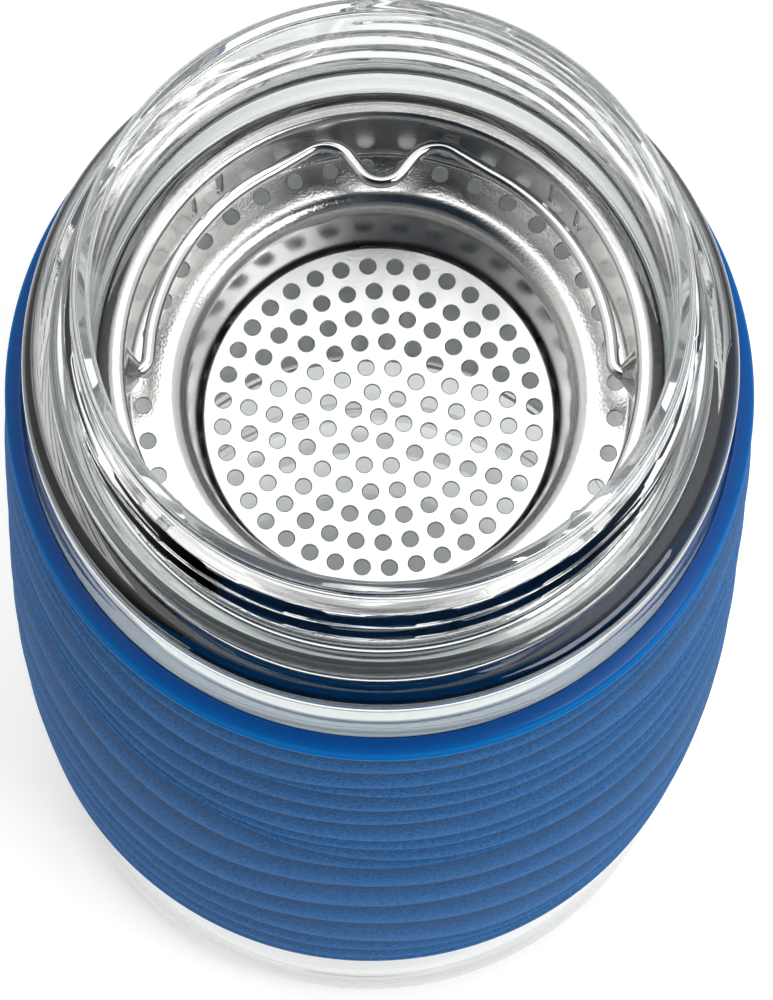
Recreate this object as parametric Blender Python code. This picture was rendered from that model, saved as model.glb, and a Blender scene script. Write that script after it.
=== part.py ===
"""Double-walled glass tea mug with a silicone sleeve and a lift-out steel strainer.

Units are metres and +Z is up. The origin is the middle of the foot, on the surface the mug stands on.
The handle of the strainer lies folded towards +Y.
"""

import math

import bmesh
import bpy
from mathutils import Matrix, Vector

# Fits shared by all pieces
FIT_GAP = 0.0003
CUT_OVERRUN = 0.002

# Outer glass: heights
MUG_HEIGHT = 0.174
SLEEVE_FOOT_HEIGHT = 0.028
SLEEVE_LIP_DROP = 0.0373
BELLY_HEIGHT = 0.075
COLLAR_DROP = 0.0228
COLLAR_HALF_HEIGHT = 0.0016
SHOULDER_DROP = 0.0250
SHOULDER_ROUND = 0.0027
NECK_ROOT_DROP = 0.0299

# Outer glass: radii and walls
NECK_BORE_RADIUS = 0.0305
NECK_OUTER_RADIUS = 0.0325
COLLAR_PROUD = 0.0026
CREVICE_INSET = 0.0010
BELLY_RADIUS = 0.0385
TOP_INSET = 0.0005
FOOT_INSET = 0.0020
FOOT_EASE_POWER = 2.4
GLASS_WALL = 0.0022
BASE_CORNER_RADIUS = 0.0085
BASE_THICKNESS = 0.0032
FOOT_RING_INSET = 0.0040
PUNT_DEPTH = 0.0014
VENT_RADIUS = 0.0020

# Base plug
PLUG_HEAD_RADIUS = 0.0038
PLUG_HEAD_THICKNESS = 0.0008
PLUG_STEM_RUN_THROUGH = 0.0010

# Inner glass
LINER_WALL = 0.0020
AIR_SPACE = 0.0035
LINER_FLOOR_SPACE = 0.0040
LINER_CORNER_RADIUS = 0.0100
SEAT_DROP = 0.0272
SEAT_WIDTH = 0.0022
SEAT_RING_HEIGHT = 0.0040
LINER_FLARE_HEIGHT = 0.0080
LINER_ROUND = 0.0045

# Silicone sleeve
SLEEVE_THICKNESS = 0.0013
SLEEVE_LIP_WIDTH = 0.0017
SLEEVE_LIP_HEIGHT = 0.0030
SLEEVE_LIP_SLOPE = 0.0006
SLEEVE_FOOT_WIDTH = 0.0009
SLEEVE_FOOT_HEM = 0.0022
RIDGE_PROUD = 0.0005
RIDGE_STEP_HEIGHT = 0.0007
RIDGE_LEAST_GAP = 0.0013
RIDGE_START_DEG = -152.25
# How far down the ridged band each ridge lies, at even angles over half a turn. Both halves are alike.
RIDGE_PLACE_SHARES = (
    (0.026, 0.045, 0.053, 0.043, 0.026, 0.026),
    (0.065, 0.129, 0.115, 0.099, 0.065, 0.065),
    (0.111, 0.142, 0.152, 0.171, 0.195, 0.153),
    (0.205, 0.205, 0.212, 0.214, 0.224, 0.214),
    (0.250, 0.275, 0.271, 0.268, 0.270, 0.260),
    (0.287, 0.326, 0.343, 0.349, 0.357, 0.322),
    (0.313, 0.356, 0.384, 0.398, 0.413, 0.363),
    (0.326, 0.369, 0.427, 0.461, 0.485, 0.405),
    (0.413, 0.461, 0.471, 0.474, 0.498, 0.455),
    (0.559, 0.577, 0.553, 0.572, 0.611, 0.585),
    (0.646, 0.675, 0.652, 0.659, 0.758, 0.702),
    (0.741, 0.760, 0.739, 0.770, 0.818, 0.780),
    (0.794, 0.828, 0.843, 0.886, 0.878, 0.836),
    (0.871, 0.896, 0.905, 0.925, 0.925, 0.898),
    (0.934, 0.958, 0.968, 0.959, 0.957, 0.946),
)

# Strainer basket
SHEET_THICKNESS = 0.0005
MOUTH_CLEARANCE = 0.0004
RIM_OVERLAP = 0.0008
RIM_EDGE_ROUND = 0.0006
WALL_TAPER = 0.0003
LEDGE_DROP = 0.0124
LEDGE_CORNER_ROUND = 0.0007
CUP_MOUTH_RADIUS = 0.0207
CUP_MOUTH_ROUND = 0.0022
CUP_DEPTH = 0.0093
CUP_FOOT_ROUND = 0.0008
FLOOR_REST_WIDTH = 0.0012

# Perforations
HOLE_RADIUS = 0.00084
HOLE_SIDES = 7
FLOOR_RADIUS = 0.01885
FLOOR_HOLE_PITCH = 0.0028
FLOOR_RING_COUNT = 6
FLOOR_FIRST_HOLE_DEG = 104.15
LEDGE_HOLE_RING_RADIUS = 0.02525
LEDGE_HOLE_COUNT = 40
LEDGE_FIRST_HOLE_DEG = 3.25

# Spring tongues punched in the basket's wall
TONGUE_COUNT = 4
TONGUE_FIRST_DEG = 43.35
TONGUE_WIDTH = 0.0029
TONGUE_HEIGHT = 0.0054
TONGUE_DROP = 0.0022
TONGUE_SLOT_WIDTH = 0.0009

# Wire handle
WIRE_RADIUS = 0.00075
PIVOT_DROP = 0.0041
PIVOT_CLEARANCE = 0.00025
HANDLE_HALF_WIDTH = 0.02475
HANDLE_SHOULDER_ROUND = 0.0016
LOOP_RADIUS = 0.0247
LOOP_LIFT = 0.0004
LOOP_START_DEG = 9.0
LOOP_END_DEG = 62.0
HUMP_REACH = 0.0262
HUMP_HALF_SPAN = 0.0052
HUMP_ROUND = 0.0033
NOTCH_REACH = 0.0193
NOTCH_ROUND = 0.0028

# Facets
ROUND_STEPS = 36
PLUG_STEPS = 16
ARC_FACET_DEG = 30.0
SMALL_ARC_FACET_DEG = 50.0
SMALL_ROUND = 0.0026
WALL_STEPS = 4
LOOP_STEPS = 10
WIRE_BEVEL_RESOLUTION = 2
FILLET_ROOM_SHARE = 0.49
LEAST_BEND = 0.001
MERGE_DISTANCE = 0.000001

# Sizes worked out from the values above
COLLAR_HEIGHT = MUG_HEIGHT - COLLAR_DROP
SHOULDER_HEIGHT = MUG_HEIGHT - SHOULDER_DROP
LIP_HEIGHT = MUG_HEIGHT - SLEEVE_LIP_DROP
SEAT_HEIGHT = MUG_HEIGHT - SEAT_DROP
SHELL_TOP_RADIUS = BELLY_RADIUS - TOP_INSET
SHELL_FOOT_RADIUS = BELLY_RADIUS - FOOT_INSET
LINER_MOUTH_RADIUS = NECK_BORE_RADIUS - FIT_GAP - SEAT_WIDTH
RIM_TOP_HEIGHT = SEAT_HEIGHT + FIT_GAP + SHEET_THICKNESS
LEDGE_HEIGHT = RIM_TOP_HEIGHT - LEDGE_DROP
FLOOR_HEIGHT = LEDGE_HEIGHT - CUP_DEPTH
PIVOT_HEIGHT = RIM_TOP_HEIGHT - PIVOT_DROP
BASKET_TOP_RADIUS = LINER_MOUTH_RADIUS - MOUTH_CLEARANCE
BASKET_LEDGE_RADIUS = BASKET_TOP_RADIUS - WALL_TAPER


def remove_old_objects():
    for old in list(bpy.data.objects):
        bpy.data.objects.remove(old, do_unlink=True)


def new_material(name, colour, roughness, metallic=0.0, transmission=0.0):
    material = bpy.data.materials.new(name)
    material.use_nodes = True
    shader = material.node_tree.nodes["Principled BSDF"]
    shader.inputs["Base Color"].default_value = (*colour, 1.0)
    shader.inputs["Roughness"].default_value = roughness
    shader.inputs["Metallic"].default_value = metallic
    shader.inputs["Transmission Weight"].default_value = transmission
    return material


def add_object(name, data, material):
    piece = bpy.data.objects.new(name, data)
    bpy.context.scene.collection.objects.link(piece)
    data.materials.append(material)
    return piece


def fillet_points(before, corner, after, radius):
    """Points of the round that takes a corner off. It takes less than half of each run beside it."""
    back = before - corner
    ahead = after - corner
    opening = back.angle(ahead)
    bend = math.pi - opening
    if radius == 0.0 or bend < LEAST_BEND:
        return [corner]
    back_run = min(radius / math.tan(opening / 2), FILLET_ROOM_SHARE * min(back.length, ahead.length))
    round_radius = back_run * math.tan(opening / 2)
    inward = (back.normalized() + ahead.normalized()).normalized()
    middle = corner + inward * round_radius / math.sin(opening / 2)
    start = corner + back.normalized() * back_run - middle
    end = corner + ahead.normalized() * back_run - middle
    across = (end - start * math.cos(bend)) / math.sin(bend)
    facet = math.radians(SMALL_ARC_FACET_DEG if round_radius < SMALL_ROUND else ARC_FACET_DEG)
    steps = max(1, round(bend / facet))
    points = []
    for step in range(steps + 1):
        turn = bend * step / steps
        points.append(middle + start * math.cos(turn) + across * math.sin(turn))
    return points


def rounded_path(corners):
    """Points along straight runs between corners, which are given as (point, fillet radius)."""
    places = [Vector(point) for point, _ in corners]
    path = [places[0]]
    for index in range(1, len(corners) - 1):
        path += fillet_points(places[index - 1], places[index], places[index + 1], corners[index][1])
    path.append(places[-1])
    return path


def revolve(name, outline, material, steps=ROUND_STEPS):
    """Turn a closed outline of (radius, height) round Z. It runs down its outer side first."""
    mesh = bpy.data.meshes.new(name)
    points = [(radius, 0.0, height) for radius, height in outline]
    edges = []
    for index, point in enumerate(points):
        after = (index + 1) % len(points)
        on_axis = point[0] == 0.0 and points[after][0] == 0.0
        if not on_axis:
            edges.append((index, after))
    mesh.from_pydata(points, edges, [])
    piece = add_object(name, mesh, material)
    screw = piece.modifiers.new("turn", "SCREW")
    screw.axis = "Z"
    screw.steps = steps
    screw.render_steps = steps
    screw.use_merge_vertices = True
    screw.merge_threshold = MERGE_DISTANCE
    screw.use_smooth_shade = True
    return piece


def cutter_object(name, bodies):
    """One cutter mesh from several prisms, each a pair of matching loops of points."""
    mesh = bpy.data.meshes.new(name)
    shape = bmesh.new()
    for low, high in bodies:
        bottom = [shape.verts.new(point) for point in low]
        top = [shape.verts.new(point) for point in high]
        shape.faces.new(list(reversed(bottom)))
        shape.faces.new(top)
        for index in range(len(bottom)):
            after = (index + 1) % len(bottom)
            shape.faces.new((bottom[index], bottom[after], top[after], top[index]))
    bmesh.ops.recalc_face_normals(shape, faces=shape.faces)
    shape.to_mesh(mesh)
    shape.free()
    cutter = bpy.data.objects.new(name, mesh)
    bpy.context.scene.collection.objects.link(cutter)
    cutter.hide_render = True
    cutter.display_type = "WIRE"
    return cutter


def cut(piece, cutter):
    boolean = piece.modifiers.new(cutter.name, "BOOLEAN")
    boolean.operation = "DIFFERENCE"
    boolean.solver = "EXACT"
    boolean.object = cutter


def hole_prism(x, y, low, high):
    """An upright round hole through a sheet, with corners half a step off the axes."""
    loops = []
    for height in (low, high):
        loop = []
        for side in range(HOLE_SIDES):
            angle = 2 * math.pi * (side + 0.5) / HOLE_SIDES
            loop.append((x + HOLE_RADIUS * math.cos(angle), y + HOLE_RADIUS * math.sin(angle), height))
        loops.append(loop)
    return tuple(loops)


def shell_radius(height):
    """Outer radius of the glass wall: widest at the belly, easing in to the lip and to the foot."""
    if height >= BELLY_HEIGHT:
        share = (height - BELLY_HEIGHT) / (LIP_HEIGHT - BELLY_HEIGHT)
        return BELLY_RADIUS - TOP_INSET * share ** 2
    share = (BELLY_HEIGHT - height) / (BELLY_HEIGHT - SLEEVE_FOOT_HEIGHT)
    return BELLY_RADIUS - FOOT_INSET * share ** FOOT_EASE_POWER


def wall_heights(top, bottom, steps):
    return [top + (bottom - top) * step / steps for step in range(steps + 1)]


def outer_glass_outline():
    rim_round = (NECK_OUTER_RADIUS - NECK_BORE_RADIUS) / 2
    neck_foot = COLLAR_HEIGHT + COLLAR_HALF_HEIGHT
    collar_radius = NECK_OUTER_RADIUS + COLLAR_PROUD
    outside = [
        ((NECK_BORE_RADIUS, MUG_HEIGHT - rim_round), 0.0),
        ((NECK_BORE_RADIUS, MUG_HEIGHT), rim_round),
        ((NECK_OUTER_RADIUS, MUG_HEIGHT), rim_round),
        ((NECK_OUTER_RADIUS, neck_foot), COLLAR_HALF_HEIGHT / 2),
        ((collar_radius, neck_foot), COLLAR_HALF_HEIGHT),
        ((collar_radius, COLLAR_HEIGHT - COLLAR_HALF_HEIGHT), COLLAR_HALF_HEIGHT),
        ((collar_radius - CREVICE_INSET, SHOULDER_HEIGHT), COLLAR_HALF_HEIGHT / 2),
        ((SHELL_TOP_RADIUS, SHOULDER_HEIGHT), SHOULDER_ROUND),
    ]
    for height in wall_heights(LIP_HEIGHT, SLEEVE_FOOT_HEIGHT, WALL_STEPS):
        outside.append(((shell_radius(height), height), 0.0))
    outside += [
        ((SHELL_FOOT_RADIUS, 0.0), BASE_CORNER_RADIUS),
        ((SHELL_FOOT_RADIUS - BASE_CORNER_RADIUS - FOOT_RING_INSET, 0.0), 0.0),
        ((SHELL_FOOT_RADIUS - BASE_CORNER_RADIUS - 2 * FOOT_RING_INSET, PUNT_DEPTH), 0.0),
        ((VENT_RADIUS, PUNT_DEPTH), 0.0),
    ]
    inner_corner = BASE_CORNER_RADIUS - GLASS_WALL / 2
    inside = [
        ((VENT_RADIUS, PUNT_DEPTH + BASE_THICKNESS), 0.0),
        ((SHELL_FOOT_RADIUS - GLASS_WALL, PUNT_DEPTH + BASE_THICKNESS), inner_corner),
    ]
    for height in wall_heights(SLEEVE_FOOT_HEIGHT, LIP_HEIGHT, WALL_STEPS):
        inside.append(((shell_radius(height) - GLASS_WALL, height), 0.0))
    inside += [
        ((SHELL_TOP_RADIUS - GLASS_WALL, SHOULDER_HEIGHT - GLASS_WALL), SHOULDER_ROUND / 2),
        ((NECK_BORE_RADIUS, MUG_HEIGHT - NECK_ROOT_DROP), GLASS_WALL / 2),
        ((NECK_BORE_RADIUS, MUG_HEIGHT - rim_round), 0.0),
    ]
    return rounded_path(outside)[1:] + rounded_path(inside)


def add_outer_glass(material):
    return revolve("outer_glass", outer_glass_outline(), material)


def add_inner_glass(material):
    """The liner: a seat ring inside the neck, a flare below it, a straight wall and a round bottom."""
    seat_outer = NECK_BORE_RADIUS - FIT_GAP
    ring_foot = SEAT_HEIGHT - SEAT_RING_HEIGHT
    flare_foot = ring_foot - LINER_FLARE_HEIGHT
    wall_outer = SHELL_TOP_RADIUS - GLASS_WALL - AIR_SPACE
    foot_outer = SHELL_FOOT_RADIUS - GLASS_WALL - AIR_SPACE
    low_wall = SLEEVE_FOOT_HEIGHT + LINER_CORNER_RADIUS
    bottom = PUNT_DEPTH + BASE_THICKNESS + LINER_FLOOR_SPACE
    outside = [
        ((LINER_MOUTH_RADIUS, SEAT_HEIGHT), 0.0),
        ((seat_outer, SEAT_HEIGHT), LINER_WALL / 4),
        ((seat_outer, ring_foot), LINER_ROUND),
        ((wall_outer, flare_foot), LINER_ROUND),
        ((wall_outer, low_wall), LINER_CORNER_RADIUS),
        ((foot_outer, bottom), LINER_CORNER_RADIUS),
        ((0.0, bottom), 0.0),
    ]
    inside = [
        ((0.0, bottom + LINER_WALL), 0.0),
        ((foot_outer - LINER_WALL, bottom + LINER_WALL), LINER_CORNER_RADIUS - LINER_WALL),
        ((wall_outer - LINER_WALL, low_wall), LINER_CORNER_RADIUS),
        ((wall_outer - LINER_WALL, flare_foot - LINER_WALL / 2), LINER_ROUND),
        ((LINER_MOUTH_RADIUS, ring_foot - LINER_WALL / 2), LINER_ROUND),
        ((LINER_MOUTH_RADIUS, SEAT_HEIGHT), 0.0),
    ]
    return revolve("inner_glass", rounded_path(outside)[1:] + rounded_path(inside), material)


def add_base_plug(material):
    """A soft mushroom plug: its head fills the punt and its stem passes the vent hole."""
    head_top = PUNT_DEPTH - FIT_GAP
    stem_radius = VENT_RADIUS - FIT_GAP
    stem_top = PUNT_DEPTH + BASE_THICKNESS + PLUG_STEM_RUN_THROUGH
    outline = rounded_path([
        ((0.0, stem_top), 0.0),
        ((stem_radius, stem_top), stem_radius / 2),
        ((stem_radius, head_top), 0.0),
        ((PLUG_HEAD_RADIUS, head_top), 0.0),
        ((PLUG_HEAD_RADIUS, head_top - PLUG_HEAD_THICKNESS), PLUG_HEAD_THICKNESS / 2),
        ((0.0, head_top - PLUG_HEAD_THICKNESS), 0.0),
    ])
    return revolve("base_plug", outline, material, PLUG_STEPS)


def loft_rings(name, rings, material):
    """Skin a closed stack of rings, each a loop of the same number of points, into one body."""
    mesh = bpy.data.meshes.new(name)
    shape = bmesh.new()
    loops = [[shape.verts.new(point) for point in ring] for ring in rings]
    for upper, lower in zip(loops, loops[1:] + loops[:1]):
        for index in range(len(upper)):
            after = (index + 1) % len(upper)
            shape.faces.new((upper[index], lower[index], lower[after], upper[after]))
    bmesh.ops.recalc_face_normals(shape, faces=shape.faces)
    shape.to_mesh(mesh)
    shape.free()
    mesh.shade_smooth()
    return add_object(name, mesh, material)


def place_share(shares, angle):
    """A ridge's place at an angle, on a smooth curve through its places at even angles."""
    run = (angle - math.radians(RIDGE_START_DEG)) / math.pi * len(shares)
    column = math.floor(run)
    part = run - column
    before, start, end, after = [shares[(column + step) % len(shares)] for step in (-1, 0, 1, 2)]
    place = start + (end - start) * part ** 2 * (3 - 2 * part)
    place += (end - before) / 2 * part * (1 - part) ** 2
    return place - (after - start) / 2 * part ** 2 * (1 - part)


def ridge_edges(angle):
    """Heights of all ridges at an angle, downwards. Where two would meet they keep a small gap."""
    lip_foot = LIP_HEIGHT - SLEEVE_LIP_HEIGHT
    hem_top = SLEEVE_FOOT_HEIGHT + SLEEVE_FOOT_HEM
    edges = []
    above = lip_foot
    for shares in RIDGE_PLACE_SHARES:
        edge = lip_foot + (hem_top - lip_foot) * place_share(shares, angle)
        above = min(edge, above - RIDGE_LEAST_GAP)
        edges.append(above)
    return edges


def round_angles():
    return [2 * math.pi * step / ROUND_STEPS for step in range(ROUND_STEPS)]


def ring_points(radius_at, heights):
    points = []
    for angle, height in zip(round_angles(), heights):
        radius = radius_at(height)
        points.append((radius * math.cos(angle), radius * math.sin(angle), height))
    return points


def level_ring(radius, height):
    return ring_points(lambda _: radius, [height] * ROUND_STEPS)


def sleeve_skin_radius(height):
    return shell_radius(height) + FIT_GAP + SLEEVE_THICKNESS


def add_silicone_sleeve(material):
    """The grip: a smooth lip, then bands that lean out downwards and step back in at wavy ridges."""
    inner_top = SHELL_TOP_RADIUS + FIT_GAP
    inner_foot = SHELL_FOOT_RADIUS + FIT_GAP
    lip_foot = LIP_HEIGHT - SLEEVE_LIP_HEIGHT
    hem_top = SLEEVE_FOOT_HEIGHT + SLEEVE_FOOT_HEM
    rings = [
        level_ring(inner_top, LIP_HEIGHT),
        level_ring(inner_top + SLEEVE_LIP_WIDTH, LIP_HEIGHT - SLEEVE_LIP_SLOPE),
        level_ring(inner_top + SLEEVE_LIP_WIDTH, lip_foot),
    ]
    for edges in zip(*[ridge_edges(angle) for angle in round_angles()]):
        roots = [height - RIDGE_STEP_HEIGHT for height in edges]
        rings.append(ring_points(lambda height: sleeve_skin_radius(height) + RIDGE_PROUD, edges))
        rings.append(ring_points(sleeve_skin_radius, roots))
    rings += [
        level_ring(sleeve_skin_radius(hem_top), hem_top),
        level_ring(inner_foot + SLEEVE_FOOT_WIDTH, SLEEVE_FOOT_HEIGHT),
        level_ring(inner_foot, SLEEVE_FOOT_HEIGHT),
    ]
    for height in wall_heights(SLEEVE_FOOT_HEIGHT, LIP_HEIGHT, WALL_STEPS)[1:-1]:
        rings.append(level_ring(shell_radius(height) + FIT_GAP, height))
    return loft_rings("silicone_sleeve", rings, material)


def sheet_outline(middle_line):
    """Close a sheet of even thickness round its middle line of (radius, height), outer side first."""
    sides = ([], [])
    for index, point in enumerate(middle_line):
        before = middle_line[max(index - 1, 0)]
        after = middle_line[min(index + 1, len(middle_line) - 1)]
        first = (point - before).normalized() if index > 0 else (after - point).normalized()
        second = (after - point).normalized() if index < len(middle_line) - 1 else first
        run = (first + second).normalized()
        across = Vector((-run.y, run.x)) * SHEET_THICKNESS / 2 / run.dot(first)
        sides[0].append(point + across)
        sides[1].append(point - across)
    return sides[0] + sides[1][::-1]


def add_strainer_basket(material):
    half = SHEET_THICKNESS / 2
    rim_radius = LINER_MOUTH_RADIUS + RIM_OVERLAP
    cup_foot_radius = FLOOR_RADIUS + FIT_GAP + half
    rest_height = FLOOR_HEIGHT - SHEET_THICKNESS - FIT_GAP - half
    middle_line = rounded_path([
        ((rim_radius, RIM_TOP_HEIGHT - half), 0.0),
        ((BASKET_TOP_RADIUS - half, RIM_TOP_HEIGHT - half), RIM_EDGE_ROUND),
        ((BASKET_LEDGE_RADIUS - half, LEDGE_HEIGHT - half), LEDGE_CORNER_ROUND),
        ((CUP_MOUTH_RADIUS + half, LEDGE_HEIGHT - half), CUP_MOUTH_ROUND),
        ((cup_foot_radius, rest_height), CUP_FOOT_ROUND),
        ((cup_foot_radius - half - FLOOR_REST_WIDTH, rest_height), 0.0),
    ])
    basket = revolve("strainer_basket", sheet_outline(middle_line), material)
    cut(basket, ledge_hole_cutter())
    cut(basket, tongue_cutter())
    cut(basket, pivot_cutter())
    return basket


def ledge_hole_cutter():
    holes = []
    low = LEDGE_HEIGHT - SHEET_THICKNESS - CUT_OVERRUN
    high = LEDGE_HEIGHT + CUT_OVERRUN
    for index in range(LEDGE_HOLE_COUNT):
        angle = math.radians(LEDGE_FIRST_HOLE_DEG + 360 * index / LEDGE_HOLE_COUNT)
        x = LEDGE_HOLE_RING_RADIUS * math.cos(angle)
        y = LEDGE_HOLE_RING_RADIUS * math.sin(angle)
        holes.append(hole_prism(x, y, low, high))
    return cutter_object("ledge_hole_cutter", holes)


def tongue_cutter():
    """A slot round three sides of each tongue, which stays joined to the wall at its foot."""
    top = RIM_TOP_HEIGHT - TONGUE_DROP
    foot = top - TONGUE_HEIGHT
    outer = TONGUE_WIDTH / 2 + TONGUE_SLOT_WIDTH
    inner = TONGUE_WIDTH / 2
    slot = [
        (-outer, foot),
        (-outer, top + TONGUE_SLOT_WIDTH),
        (outer, top + TONGUE_SLOT_WIDTH),
        (outer, foot),
        (inner, foot),
        (inner, top),
        (-inner, top),
        (-inner, foot),
    ]
    near = BASKET_LEDGE_RADIUS - CUT_OVERRUN
    far = BASKET_TOP_RADIUS + CUT_OVERRUN
    bodies = []
    for index in range(TONGUE_COUNT):
        angle = math.radians(TONGUE_FIRST_DEG) + 2 * math.pi * index / TONGUE_COUNT
        outward = Vector((math.cos(angle), math.sin(angle), 0.0))
        sideways = Vector((-math.sin(angle), math.cos(angle), 0.0))
        loops = []
        for radius in (near, far):
            loops.append([outward * radius + sideways * side + Vector((0.0, 0.0, z)) for side, z in slot])
        bodies.append(tuple(loops))
    return cutter_object("tongue_cutter", bodies)


def pivot_cutter():
    """The two holes in the wall that the handle's ends turn in."""
    near = BASKET_LEDGE_RADIUS - CUT_OVERRUN
    far = BASKET_TOP_RADIUS + CUT_OVERRUN
    radius = WIRE_RADIUS + PIVOT_CLEARANCE
    bodies = []
    for side in (-1, 1):
        loops = []
        for reach in (near, far):
            loop = []
            for corner in range(2 * HOLE_SIDES):
                angle = math.pi * corner / HOLE_SIDES
                loop.append((side * reach, radius * math.cos(angle), PIVOT_HEIGHT + radius * math.sin(angle)))
            loops.append(loop)
        bodies.append(tuple(loops))
    return cutter_object("pivot_cutter", bodies)


def add_strainer_floor(material):
    """The perforated disk, with its holes on concentric rings one pitch apart."""
    mesh = bpy.data.meshes.new("strainer_floor")
    shape = bmesh.new()
    middle = Matrix.Translation((0.0, 0.0, FLOOR_HEIGHT - SHEET_THICKNESS / 2))
    bmesh.ops.create_cone(
        shape,
        cap_ends=True,
        segments=ROUND_STEPS,
        radius1=FLOOR_RADIUS,
        radius2=FLOOR_RADIUS,
        depth=SHEET_THICKNESS,
        matrix=middle,
    )
    shape.to_mesh(mesh)
    shape.free()
    disk = add_object("strainer_floor", mesh, material)
    low = FLOOR_HEIGHT - SHEET_THICKNESS - CUT_OVERRUN
    high = FLOOR_HEIGHT + CUT_OVERRUN
    holes = [hole_prism(0.0, 0.0, low, high)]
    for ring in range(1, FLOOR_RING_COUNT + 1):
        for index in range(6 * ring):
            angle = math.radians(FLOOR_FIRST_HOLE_DEG) + 2 * math.pi * index / (6 * ring)
            reach = FLOOR_HOLE_PITCH * ring
            holes.append(hole_prism(reach * math.cos(angle), reach * math.sin(angle), low, high))
    cut(disk, cutter_object("floor_hole_cutter", holes))
    return disk


def handle_half():
    """Corners of the wire's +X half, from its end in the wall to just short of the notch."""
    corners = [
        ((LINER_MOUTH_RADIUS - FIT_GAP, 0.0, 0.0), 0.0),
        ((HANDLE_HALF_WIDTH, 0.0, 0.0), HANDLE_SHOULDER_ROUND),
    ]
    for step in range(LOOP_STEPS + 1):
        angle = math.radians(LOOP_START_DEG + (LOOP_END_DEG - LOOP_START_DEG) * step / LOOP_STEPS)
        reach = LOOP_LIFT + LOOP_RADIUS * math.sin(angle)
        corners.append(((LOOP_RADIUS * math.cos(angle), reach, 0.0), 0.0))
    corners.append(((HUMP_HALF_SPAN, HUMP_REACH, 0.0), HUMP_ROUND))
    return corners


def add_strainer_handle(material):
    """A round wire bent into a D, with a V notch in the middle, drawn about its pivot axis along X."""
    right = handle_half()
    left = [((-point[0], point[1], point[2]), radius) for point, radius in reversed(right)]
    path = rounded_path(right + [((0.0, NOTCH_REACH, 0.0), NOTCH_ROUND)] + left)
    curve = bpy.data.curves.new("strainer_handle", "CURVE")
    curve.dimensions = "3D"
    curve.bevel_depth = WIRE_RADIUS
    curve.bevel_resolution = WIRE_BEVEL_RESOLUTION
    curve.use_fill_caps = True
    spline = curve.splines.new("POLY")
    spline.points.add(len(path) - 1)
    for slot, point in zip(spline.points, path):
        slot.co = (*point, 1.0)
    spline.use_smooth = True
    handle = add_object("strainer_handle", curve, material)
    handle.location = (0.0, 0.0, PIVOT_HEIGHT)
    return handle


def build():
    remove_old_objects()
    clear = (0.86, 0.92, 0.90)
    add_outer_glass(new_material("clear_glass", clear, 0.02, transmission=1.0))
    add_inner_glass(new_material("liner_glass", clear, 0.02, transmission=1.0))
    add_base_plug(new_material("plug_silicone", (0.80, 0.81, 0.80), 0.5))
    add_silicone_sleeve(new_material("blue_silicone", (0.030, 0.107, 0.270), 0.6))
    lift = bpy.data.objects.new("strainer_lift_axis", None)
    lift.location = (0.0, 0.0, SEAT_HEIGHT)
    bpy.context.scene.collection.objects.link(lift)
    bpy.context.view_layer.update()
    strainer = [
        add_strainer_basket(new_material("basket_steel", (0.75, 0.75, 0.76), 0.18, metallic=1.0)),
        add_strainer_floor(new_material("floor_steel", (0.78, 0.78, 0.79), 0.30, metallic=1.0)),
        add_strainer_handle(new_material("wire_steel", (0.72, 0.72, 0.73), 0.12, metallic=1.0)),
    ]
    for piece in strainer:
        piece.parent = lift
        piece.matrix_parent_inverse = lift.matrix_world.inverted()


build()
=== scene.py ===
"""Looks of a double-walled glass tea mug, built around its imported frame. Metres, +Z up.

Azimuths are counted from +X towards +Y. The photograph looks from the front, -Y, and steeply down.
"""
import math

import bpy
import numpy as np
from mathutils import Matrix, Vector
from mathutils.geometry import delaunay_2d_cdt


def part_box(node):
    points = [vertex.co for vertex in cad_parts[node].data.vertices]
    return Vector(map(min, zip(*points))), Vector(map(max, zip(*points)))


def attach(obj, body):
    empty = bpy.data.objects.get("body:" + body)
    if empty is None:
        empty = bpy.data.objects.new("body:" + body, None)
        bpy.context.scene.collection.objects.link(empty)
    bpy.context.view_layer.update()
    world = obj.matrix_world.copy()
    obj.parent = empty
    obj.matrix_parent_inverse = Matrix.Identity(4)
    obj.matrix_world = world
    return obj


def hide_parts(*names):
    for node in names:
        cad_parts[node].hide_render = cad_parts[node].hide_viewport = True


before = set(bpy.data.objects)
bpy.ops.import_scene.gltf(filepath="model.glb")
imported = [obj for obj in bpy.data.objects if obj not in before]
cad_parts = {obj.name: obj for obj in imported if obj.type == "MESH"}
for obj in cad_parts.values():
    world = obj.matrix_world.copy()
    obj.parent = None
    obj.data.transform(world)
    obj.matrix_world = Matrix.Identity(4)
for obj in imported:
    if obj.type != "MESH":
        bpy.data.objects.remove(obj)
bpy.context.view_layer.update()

TAU = 2 * math.pi

# Sizes read from the frame
GLASS_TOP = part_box("outer_glass")[1]
SLEEVE_LOW, SLEEVE_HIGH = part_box("silicone_sleeve")
LINER_LOW, LINER_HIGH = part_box("inner_glass")
BASKET_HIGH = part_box("strainer_basket")[1]
FLOOR_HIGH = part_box("strainer_floor")[1]
HANDLE_LOW, HANDLE_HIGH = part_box("strainer_handle")
PLUG_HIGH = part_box("base_plug")[1]
MUG_HEIGHT = GLASS_TOP.z
BELLY_RADIUS = GLASS_TOP.x
SLEEVE_FOOT_HEIGHT = SLEEVE_LOW.z
LIP_HEIGHT = SLEEVE_HIGH.z
SEAT_HEIGHT = LINER_HIGH.z
RIM_TOP_HEIGHT = BASKET_HIGH.z
RIM_RADIUS = BASKET_HIGH.x
FLOOR_RADIUS = FLOOR_HIGH.x
FLOOR_HEIGHT = FLOOR_HIGH.z
PIVOT_HEIGHT = (HANDLE_LOW.z + HANDLE_HIGH.z) / 2
WIRE_RADIUS = (HANDLE_HIGH.z - HANDLE_LOW.z) / 2

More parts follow.
